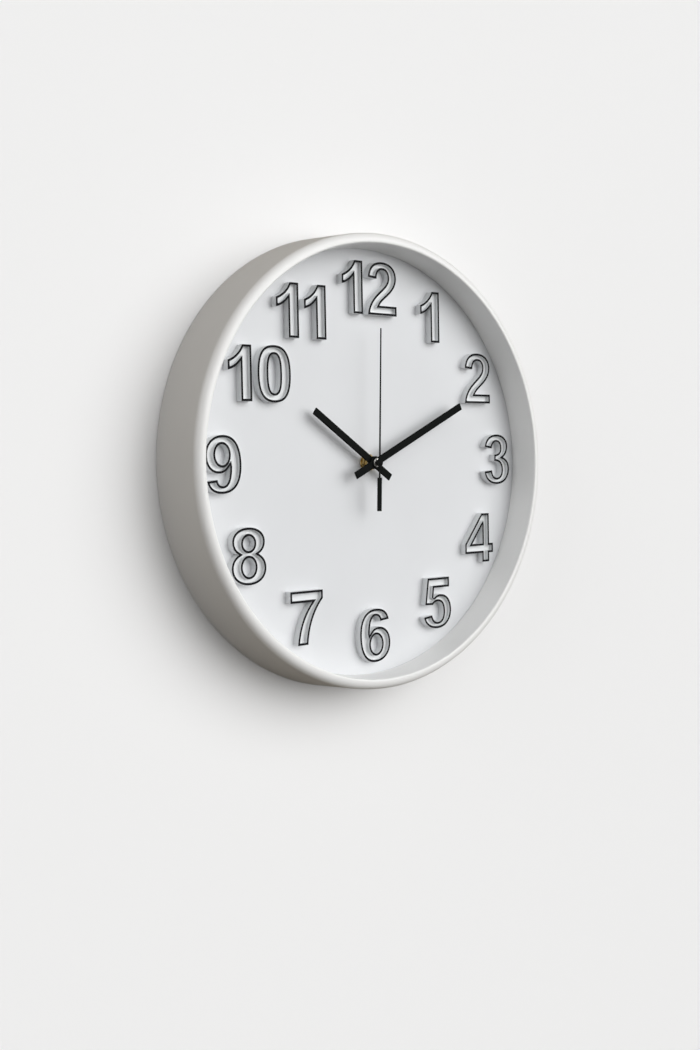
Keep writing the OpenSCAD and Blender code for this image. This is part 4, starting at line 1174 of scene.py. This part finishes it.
@dataclass
class SecondHand:
    """The thin second hand, with its disc and its flat counterweight.

    Attributes:
        length: Its length from the arbor.
        tail: Its length behind the arbor.
        root: Its width at the arbor.
        tip: Its width at the tip.
        disc_r: The radius of its disc.
        weight_w: The width of the counterweight.
        weight_start: Where the counterweight starts.
        angle: Its clockwise angle from twelve.
        bore_r: The radius of its hole.
    """

    length: float = 89.0
    tail: float = 32.3
    root: float = 1.1
    tip: float = 0.7
    disc_r: float = 2.6
    weight_w: float = 3.6
    weight_start: float = 10.0
    angle: float = 2.0
    bore_r: float = 0.5

    def build(self) -> None:
        """Builds the hand; its tube and cap are built with the hand fittings."""
        low, high = measured("second_hand")
        half, reach = self.root / 2, self.weight_w / 2
        meet = math.degrees(math.asin(half / self.disc_r))
        right = [
            (self.disc_r * math.cos(math.radians(a)), self.disc_r * math.sin(math.radians(a)))
            for a in [-90 + meet + (180 - 2 * meet) * i / 16 for i in range(17)]
        ]
        weight = rounded(
            [
                (-reach, -self.weight_start, 0.3), (-reach, -self.tail, 0.3),
                (reach, -self.tail, 0.3), (reach, -self.weight_start, 0.3),
            ], 3
        )
        tip = [
            (self.tip / 2, self.length - 0.3), (self.tip / 4, self.length),
            (-self.tip / 4, self.length), (-self.tip / 2, self.length - 0.3),
        ]
        outline = weight + [(half, -self.weight_start)] + right + tip
        outline += [(-x, y) for x, y in reversed(right)] + [(-half, -self.weight_start)]
        shell = Shell()
        shell.slab([moved(outline, (0, 0), self.angle), circle(self.bore_r, 32)[::-1]], low.z, high.z, 0.12)
        shell.piece("second_hand_lacquered", Body.SECONDS, "hand_black", [HAND_BLACK], ("second_hand",))


@dataclass
class HandFittings:
    """The bush, washer, nut and collars that hold the hands, all turned parts.

    Attributes:
        thread_pitch: The pitch of the bush's thread.
        thread_depth: The depth of the bush's thread.
        knurls: The number of ridges round the minute nut.
    """

    thread_pitch: float = 0.75
    thread_depth: float = 0.36
    knurls: int = 24

    def bush(self) -> None:
        """Builds the threaded bush with its flange."""
        low, high = measured("threaded_bush")
        outer, bore, flange = 4.0, 2.56, 0.8
        start = low.z + flange
        steps = int((high.z - 0.3 - start) / 0.1)
        profile = [
            (bore + 0.2, low.z), (6.0 - 0.15, low.z), (6.0, low.z + 0.15), (6.0, start - 0.1), (5.9, start)
        ]
        profile += [(outer, start + 0.3 + (high.z - 0.6 - start) * i / steps) for i in range(steps + 1)]
        profile += [(outer - 0.4, high.z), (bore + 0.2, high.z), (bore, high.z - 0.2), (bore, low.z + 0.2)]

        def thread(angle: float, radius: float, z: float) -> float:
            """How far the thread is cut in at one place.

            Args:
                angle: The angle round the axis.
                radius: The radius of the profile there.
                z: The height.

            Returns:
                The change of radius.
            """
            if radius != outer:
                return 0.0
            turn = (z / self.thread_pitch + angle / (2 * math.pi)) % 1
            return -self.thread_depth * abs(2 * turn - 1)

        shell = Shell()
        shell.turned(profile, 72, ripple=thread)
        shell.piece("threaded_bush_turned", Body.CLOCK, "brass", [BRASS], ("threaded_bush",), 50.0)

    def seat(self) -> None:
        """Builds the brass washer and the nut on it."""
        low, high = measured("brass_washer")
        shell = Shell()
        profile = rounded(
            [(4.1, low.z, 0.1), (high.x, low.z, 0.12), (high.x, high.z, 0.2), (4.1, high.z, 0.15)], 3
        )
        shell.turned(profile, 96)
        shell.piece("brass_washer_turned", Body.CLOCK, "brass", [BRASS], ("brass_washer",))
        low, high = measured("dial_nut")
        across = 10.4
        corners = circle(across / math.sqrt(3), 6)
        hexagon = [
            (a[0] + (b[0] - a[0]) * i / 8, a[1] + (b[1] - a[1]) * i / 8)
            for a, b in zip(corners, corners[1:] + corners[:1])
            for i in range(8)
        ]
        hexagon = moved(hexagon, (0, 0), -12)
        facing = circle(1.0, 48)
        shell = Shell()

        def level(reach: float, z: float) -> list[int]:
            """A ring of the hexagon, cut back by a cone.

            Args:
                reach: The cone's radius at that height.
                z: The height.

            Returns:
                The ring's point numbers.
            """
            cut = []
            for x, y in hexagon:
                r = math.hypot(x, y)
                share = min(1.0, reach / r)
                cut.append((x * share, y * share))
            return shell.ring(cut, z)

        bore = [(4.0, 0.25), (3.78, 0.0)]
        rings = [
            level(5.15, low.z), level(5.45, low.z + 0.16), level(6.1, low.z + 0.5), level(6.1, high.z - 0.5)
        ]
        rings += [level(5.45, high.z - 0.16), level(5.15, high.z)]
        shell.stack(rings)
        start = math.atan2(hexagon[0][1], hexagon[0][0])
        turned_circle = moved(facing, (0, 0), -math.degrees(start))
        inner = [
            shell.ring([(x * r, y * r) for x, y in turned_circle], z)
            for r, z in (
                (bore[0][0] + 0.15, low.z), (bore[1][0] + 0.12, low.z + 0.25),
                (bore[1][0] + 0.12, high.z - 0.25), (bore[0][0] + 0.15, high.z),
            )
        ]
        shell.stack(inner)
        shell.skin(rings[0], inner[0])
        shell.skin(rings[-1], inner[-1])
        shell.piece("dial_nut_chamfered", Body.CLOCK, "brass", [BRASS], ("dial_nut",), 25.0)

    def collars(self) -> None:
        """Builds the hour collar, the minute spacer and knurled nut, and the second hand's cap."""
        low, high = measured("hour_collar")
        shell = Shell()
        middle = (low.z + high.z) / 2
        shell.turned(
            [(2.5, low.z), (3.35, low.z), (3.5, low.z + 0.15), (3.5, middle - 0.25), (3.3, middle - 0.1),
             (3.3, middle + 0.1), (3.5, middle + 0.25), (3.5, high.z - 0.15), (3.35, high.z),
             (2.5, high.z)], 72,
        )
        shell.piece("hour_collar_turned", Body.HOURS, "nickel", [NICKEL], ("hour_collar",))
        low, high = measured("minute_collar")
        spacer, nut = 3.3, 2.9
        nut_z = high.z - 1.4

        def knurl(angle: float, radius: float, z: float) -> float:
            """How far the nut's rim is cut in between its ridges."""
            return -0.11 * (0.5 + 0.5 * math.cos(angle * self.knurls)) if radius == nut else 0.0

        shell = Shell()
        shell.turned(rounded([
            (1.7, low.z, 0.05), (spacer, low.z, 0.12), (spacer, low.z + 0.6, 0.12), (1.7, low.z + 0.6, 0.05)
        ], 3), 72)
        shell.turned(
            [(1.7, nut_z), (nut - 0.25, nut_z), (nut, nut_z + 0.2), (nut, nut_z + 0.5), (nut, high.z - 0.45),
             (nut - 0.12, high.z - 0.22), (nut - 0.4, high.z - 0.05), (nut - 0.6, high.z), (1.85, high.z),
             (1.7, high.z - 0.15)],
            144, ripple=knurl,
        )
        shell.piece("minute_collar_turned", Body.MINUTES, "nickel", [NICKEL], ("minute_collar",), 45.0)
        low, high = measured("second_hub")
        cap_z = high.z - 0.5
        shell = Shell()
        shell.turned([
            (0.5, low.z), (1.0, low.z), (1.1, low.z + 0.1), (1.1, low.z + 1.3), (1.0, low.z + 1.4),
            (0.5, low.z + 1.4)
        ], 48)
        shell.turned(
            [(0.0, cap_z), (1.45, cap_z), (1.5, cap_z + 0.08), (1.42, cap_z + 0.26), (1.15, cap_z + 0.4),
             (0.7, cap_z + 0.48), (0.0, high.z)], 48,
        )
        shell.piece("second_hub_turned", Body.SECONDS, "nickel", [HAND_BLACK], ("second_hub",), 45.0)

    def build(self) -> None:
        """Builds all the fittings."""
        self.bush()
        self.seat()
        self.collars()


# ------------------------------------------------------------------ movement


@dataclass
class Battery:
    """One AA cell: a printed sleeve, a crimped negative end and a raised positive nub.

    Attributes:
        radius: Its radius.
        length: Its length without the nub.
        nub_r: The radius of the nub.
        nub_l: The length of the nub.
    """

    radius: float = 7.1
    length: float = 49.0
    nub_r: float = 2.7
    nub_l: float = 1.1

    def build(self) -> None:
        """Builds the cell along x, with its nub to the right of the dial."""
        low, high = measured("battery")
        middle = (low.y + high.y) / 2, (low.z + high.z) / 2
        place = Matrix.Translation((low.x, middle[0], middle[1])) @ Matrix.Rotation(math.pi / 2, 4, "Y")
        r, l, n = self.radius, self.length, self.nub_r
        profile = [
            (0.0, 0.25), (4.4, 0.25), (4.9, 0.05), (5.9, 0.0), (6.3, 0.12), (6.45, 0.35), (6.5, 0.3),
            (6.85, 0.22), (7.02, 0.4), (r, 0.75), (r, 4.0), (r, 12.0), (r, 24.0), (r, 36.0), (r, 46.0),
            (r, l - 0.9),
            (7.0, l - 0.45), (6.75, l - 0.25), (6.4, l - 0.2), (6.3, l - 0.35), (5.9, l - 0.1),
            (4.6, l - 0.02),
            (3.4, l - 0.05), (n + 0.1, l - 0.15), (n, l + 0.1), (n, l + self.nub_l - 0.45),
            (n - 0.12, l + self.nub_l - 0.15), (n - 0.45, l + self.nub_l), (0.0, l + self.nub_l),
        ]
        metal = [1] * 6 + [0] * 13 + [1] * 10
        shell = Shell(place)
        shell.turned(profile, 96, metal)
        shell.piece("battery_cell", Body.BATTERY, "battery_wrap", [SLEEVE, NICKEL], ("battery",), 40.0)


@dataclass
class Movement:
    """The quartz movement: its housings, hanger, circuit, motor and wheels.

    Attributes:
        turns: The number of turns of wire that show on the coil.
    """

    turns: int = 40

    def housings(self) -> None:
        """Dresses the two halves of the housing and adds their clips, ribs and polarity marks."""
        dress("movement_back", MOVEMENT_BLACK, 0.12)
        dress("movement_front", MOVEMENT_BLACK, 0.12)
        dress("train_plate", NATURAL, 0.08)
        dress("rubber_washer", RUBBER, 0.15)
        (x0, y0, z0), (x1, y1, _) = measured("movement_back")
        split = measured("movement_back")[1].z
        shell = Shell()
        for side, edge in ((-1, x0), (1, x1)):
            for y in (-12.0, 12.0):
                a, b = sorted((edge + side * 0.3, edge - side * 0.3))
                shell.slab([rectangle((a, y - 3.2), (b, y + 3.2), 0.2)], split - 2.6, split + 2.6, 0.12)
        face = z0 + 0.15
        for x in (-17.5, 17.5):
            shell.slab([rectangle((x - 2.2, -10.4), (x + 2.2, -9.7), 0.2)], z0 - 0.3, face, 0.1)
        shell.slab([rectangle((17.15, -12.25), (17.85, -7.85), 0.2)], z0 - 0.3, face, 0.1)
        knob = measured("setting_knob")
        centre = ((knob[0].x + knob[1].x) / 2, (knob[0].y + knob[1].y) / 2)
        shell.slab([circle(6.9, 64, centre), circle(6.2, 64, centre)[::-1]], z0 - 0.3, face, 0.1)
        for i in range(6):
            x = 14.0 + i * 2.0
            shell.slab([rectangle((x, -1.5), (x + 0.9, 11.5), 0.35)], z0 - 0.25, face, 0.1)
        shell.piece("movement_marks", Body.CLOCK, "movement_black", [MOVEMENT_BLACK])

    def hanger(self) -> None:
        """Dresses the hanger plate and the screws."""
        dress("hanger", ZINC, 0.22)
        dress("hanger_screws", ZINC, 0.08)
        dress("dial_screws", ZINC, 0.1)

    def circuit(self) -> None:
        """Dresses the board and its parts, and adds the solder joints."""
        dress("circuit_board", BOARD, 0.06)
        dress("clock_chip", CHIP, 0.3)
        dress("crystal", NICKEL, 0.15)
        top = measured("circuit_board")[1].z
        shell = Shell()
        columns = (-18.5, -16.5, -11.5, -4.5, -1.5, 8.5, 10.5, 12.0)
        rows = (18.2, 23.2)
        for x in columns:
            for y in rows:
                at = Matrix.Translation((x, y, top - 0.05))
                dot = Shell(at)
                dot.turned([(0.0, 0.0), (0.55, 0.0), (0.5, 0.18), (0.3, 0.36), (0.0, 0.45)], 16)
                first = len(shell.points)
                shell.points += dot.points
                shell.faces += [([first + i for i in face], paint) for face, paint in dot.faces]
        shell.piece("solder_joints", Body.CLOCK, "nickel", [NICKEL])

    def motor(self) -> None:
        """Dresses the stepping motor and winds its coil."""
        dress("coil_bobbin", NATURAL, 0.1)
        dress("coil_core", IRON, 0.08)
        dress("stator", IRON, 0.05)
        dress("rotor_magnet", MAGNET, 0.08)
        dress("contact_positive", NICKEL, 0.05)
        dress("contact_negative", NICKEL, 0.05)
        low, high = measured("coil_winding")
        radius = (high.x - low.x) / 2
        centre = ((low.x + high.x) / 2, low.y, (low.z + high.z) / 2)
        length = high.y - low.y
        bore = 2.1
        pitch = length / self.turns
        profile = [(bore, 0.0)]
        for i in range(self.turns):
            for k in range(4):
                bulge = math.sin(math.pi * (k + 0.5) / 4)
                profile.append((radius - 0.12 * (1 - bulge), (i + (k + 0.5) / 4) * pitch))
        profile += [(bore, length)]
        shell = Shell(Matrix.Translation(centre) @ Matrix.Rotation(-math.pi / 2, 4, "X"))
        shell.turned(profile, 48)
        shell.piece("coil_winding_wound", Body.CLOCK, "copper_wire", [COPPER], ("coil_winding",), 80.0)

    def wheels(self) -> None:
        """Dresses the wheels and the setting knob."""
        for node in (
            "rotor_pinion", "intermediate_wheel", "seconds_wheel", "third_wheel", "centre_wheel",
            "motion_wheel", "hour_wheel",
        ):
            dress(node, NATURAL, 0.03)
        dress("cannon_pinion", NICKEL, 0.03)
        dress("setting_knob", KNOB_GREY, 0.12)

    def build(self) -> None:
        """Builds the movement and everything on it."""
        self.housings()
        self.hanger()
        self.circuit()
        self.motor()
        self.wheels()
        Battery().build()


# ------------------------------------------------------------------ studio


@dataclass(frozen=True)
class Lamp:
    """A far soft light.

    Attributes:
        azimuth: The way that it comes from: 0 is in front of the dial and 90 is from its right.
        elevation: How high it stands, in degrees.
        spread: How wide it looks, in degrees.
        strength: How strong it is.
        colour: Its colour.
    """

    azimuth: float
    elevation: float
    spread: float
    strength: float
    colour: Colour = (1.0, 1.0, 1.0)


@dataclass
class Studio:
    """The wall, the floor, the lights and the camera, none of them part of the clock.

    Attributes:
        lamps: The lights.
        ambient: The strength of the light from all round.
        backdrop: The brightness behind everything.
        wall_colour: The colour of the wall.
        wall_bounce: The colour of the light that the wall throws back on the clock.
        floor_bounce: The colour of the light that the floor throws back on the clock.
        floor_z: The height of the floor.
        hole_r: The radius of the wall's hole, which the clock hides from the front.
        lens: The camera's focal length.
    """

    lamps: tuple[Lamp, ...] = (
        Lamp(30, 15, 60, 1.8),
        Lamp(40, 0, 60, 0.78, (1.0, 0.99, 0.97)),
        Lamp(-90, 17, 60, 1.35),
        Lamp(0, 30, 65, 0.88),
        Lamp(0, -25, 60, 0.17, (1.0, 0.96, 0.9)),
        Lamp(-165, 35, 60, 1.6),
        Lamp(150, 10, 60, 1.0),
    )
    ambient: float = 0.02
    backdrop: float = 0.9
    wall_colour: Colour = (0.9, 0.9, 0.9)
    wall_bounce: Colour = (0.25, 0.22, 0.18)
    floor_bounce: Colour = (0.08, 0.075, 0.07)
    floor_z: float = -1.0
    hole_r: float = 0.1513
    lens: float = 45.02

    def plain(self, name: str, bounce: Colour, see_through_behind: bool) -> bpy.types.Material:
        """A plain pale material, which can be clear when it is seen from behind.

        Args:
            name: Its name.
            bounce: The colour of the light that it throws back on the clock.
            see_through_behind: Whether it is clear from behind.

        Returns:
            The material.
        """
        material = bpy.data.materials.new(name)
        material.use_nodes = True
        n = Nodes(material.node_tree)
        shader = n.tree.nodes["Principled BSDF"]
        seen = n.add("LightPath", {}).outputs["Is Camera Ray"]
        colour = n.blend(seen, (*bounce, 1.0), (*self.wall_colour, 1.0))
        n.tree.links.new(colour, shader.inputs["Base Color"])
        shader.inputs["Roughness"].default_value = 0.9
        shader.inputs["Specular IOR Level"].default_value = 0.1
        if see_through_behind:
            clear = n.add("BsdfTransparent", {}).outputs[0]
            behind = n.add("NewGeometry", {}).outputs["Backfacing"]
            mix = n.add("MixShader", {0: behind, 1: shader.outputs[0], 2: clear})
            n.tree.links.new(mix.outputs[0], n.tree.nodes["Material Output"].inputs[0])
        return material

    def stand(self) -> None:
        """Builds the wall with its hole behind the clock, and the floor."""
        sides, far, depth = 128, 9.0, 0.0003
        turn = 2 * math.pi / sides
        points = [
            (r * math.cos(i * turn), depth, r * math.sin(i * turn))
            for r in (self.hole_r, far) for i in range(sides)
        ]
        faces = [(i, (i + 1) % sides, sides + (i + 1) % sides, sides + i) for i in range(sides)]
        wall = bpy.data.meshes.new("wall_backdrop")
        wall.from_pydata(points, [], faces)
        wall.materials.append(self.plain("wall_paint", self.wall_bounce, True))
        if wall.polygons[0].normal.y > 0:
            wall.flip_normals()
        floor = bpy.data.meshes.new("floor")
        z = self.floor_z
        floor.from_pydata([(-9, -9, z), (9, -9, z), (9, 9, z), (-9, 9, z)], [], [(0, 1, 2, 3)])
        floor.materials.append(self.plain("floor_paint", self.floor_bounce, False))
        for mesh in (wall, floor):
            stage = bpy.data.objects.new(mesh.name, mesh)
            stage.visible_shadow = mesh is wall
            bpy.context.scene.collection.objects.link(stage)

    def light(self) -> None:
        """Sets the lamps and the light from all round."""
        for i, lamp in enumerate(self.lamps):
            data = bpy.data.lights.new(f"lamp_{i}", "SUN")
            data.energy = lamp.strength
            data.angle = math.radians(lamp.spread)
            data.color = lamp.colour
            a, e = math.radians(lamp.azimuth), math.radians(lamp.elevation)
            source = Vector((math.sin(a) * math.cos(e), -math.cos(a) * math.cos(e), math.sin(e)))
            light = bpy.data.objects.new(data.name, data)
            light.rotation_mode = "QUATERNION"
            light.rotation_quaternion = source.to_track_quat("Z", "Y")
            bpy.context.scene.collection.objects.link(light)
        world = bpy.data.worlds.new("studio")
        bpy.context.scene.world = world
        world.use_nodes = True
        n = Nodes(world.node_tree)
        seen = n.add("LightPath", {}).outputs["Is Camera Ray"]
        strength = n.ramp(seen, 0.0, 1.0, self.ambient, self.backdrop)
        background = world.node_tree.nodes["Background"]
        background.inputs["Color"].default_value = (1.0, 1.0, 1.0, 1.0)
        world.node_tree.links.new(strength, background.inputs["Strength"])

    def camera(self) -> None:
        """Sets the camera in front of the clock, on its left and a little above its middle."""
        data = bpy.data.cameras.new("camera")
        data.lens = self.lens
        data.sensor_width = 36.0
        data.clip_start = 0.01
        right = Vector((0.76592, -0.64265, -0.01930))
        up = Vector((0.04318, 0.02146, 0.99884))
        ahead = Vector((0.64148, 0.76586, -0.04419))
        camera = bpy.data.objects.new("camera", data)
        turn = Matrix((right, up, -ahead)).transposed()
        camera.matrix_world = Matrix.Translation((-0.57610, -0.68918, -0.00251)) @ turn.to_4x4()
        bpy.context.scene.collection.objects.link(camera)
        bpy.context.scene.camera = camera

    def build(self) -> None:
        """Builds the studio."""
        self.stand()
        self.light()
        self.camera()
        bpy.context.scene.view_settings.view_transform = "Standard"


def main() -> None:
    """Builds the clock piece by piece."""
    logging.basicConfig(level=logging.INFO, format="%(message)s")
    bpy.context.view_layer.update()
    Studio().build()
    Case().build()
    Dial().build()
    for hour in range(1, 13):
        Numeral(hour).build()
    BarHand("hour_hand", Body.HOURS, 60.0, 18.0, 304.6, 2.5).build()
    BarHand("minute_hand", Body.MINUTES, 89.0, 19.5, 64.3, 1.7).build()
    SecondHand().build()
    HandFittings().build()
    Movement().build()


if __name__ == "__main__":
    main()
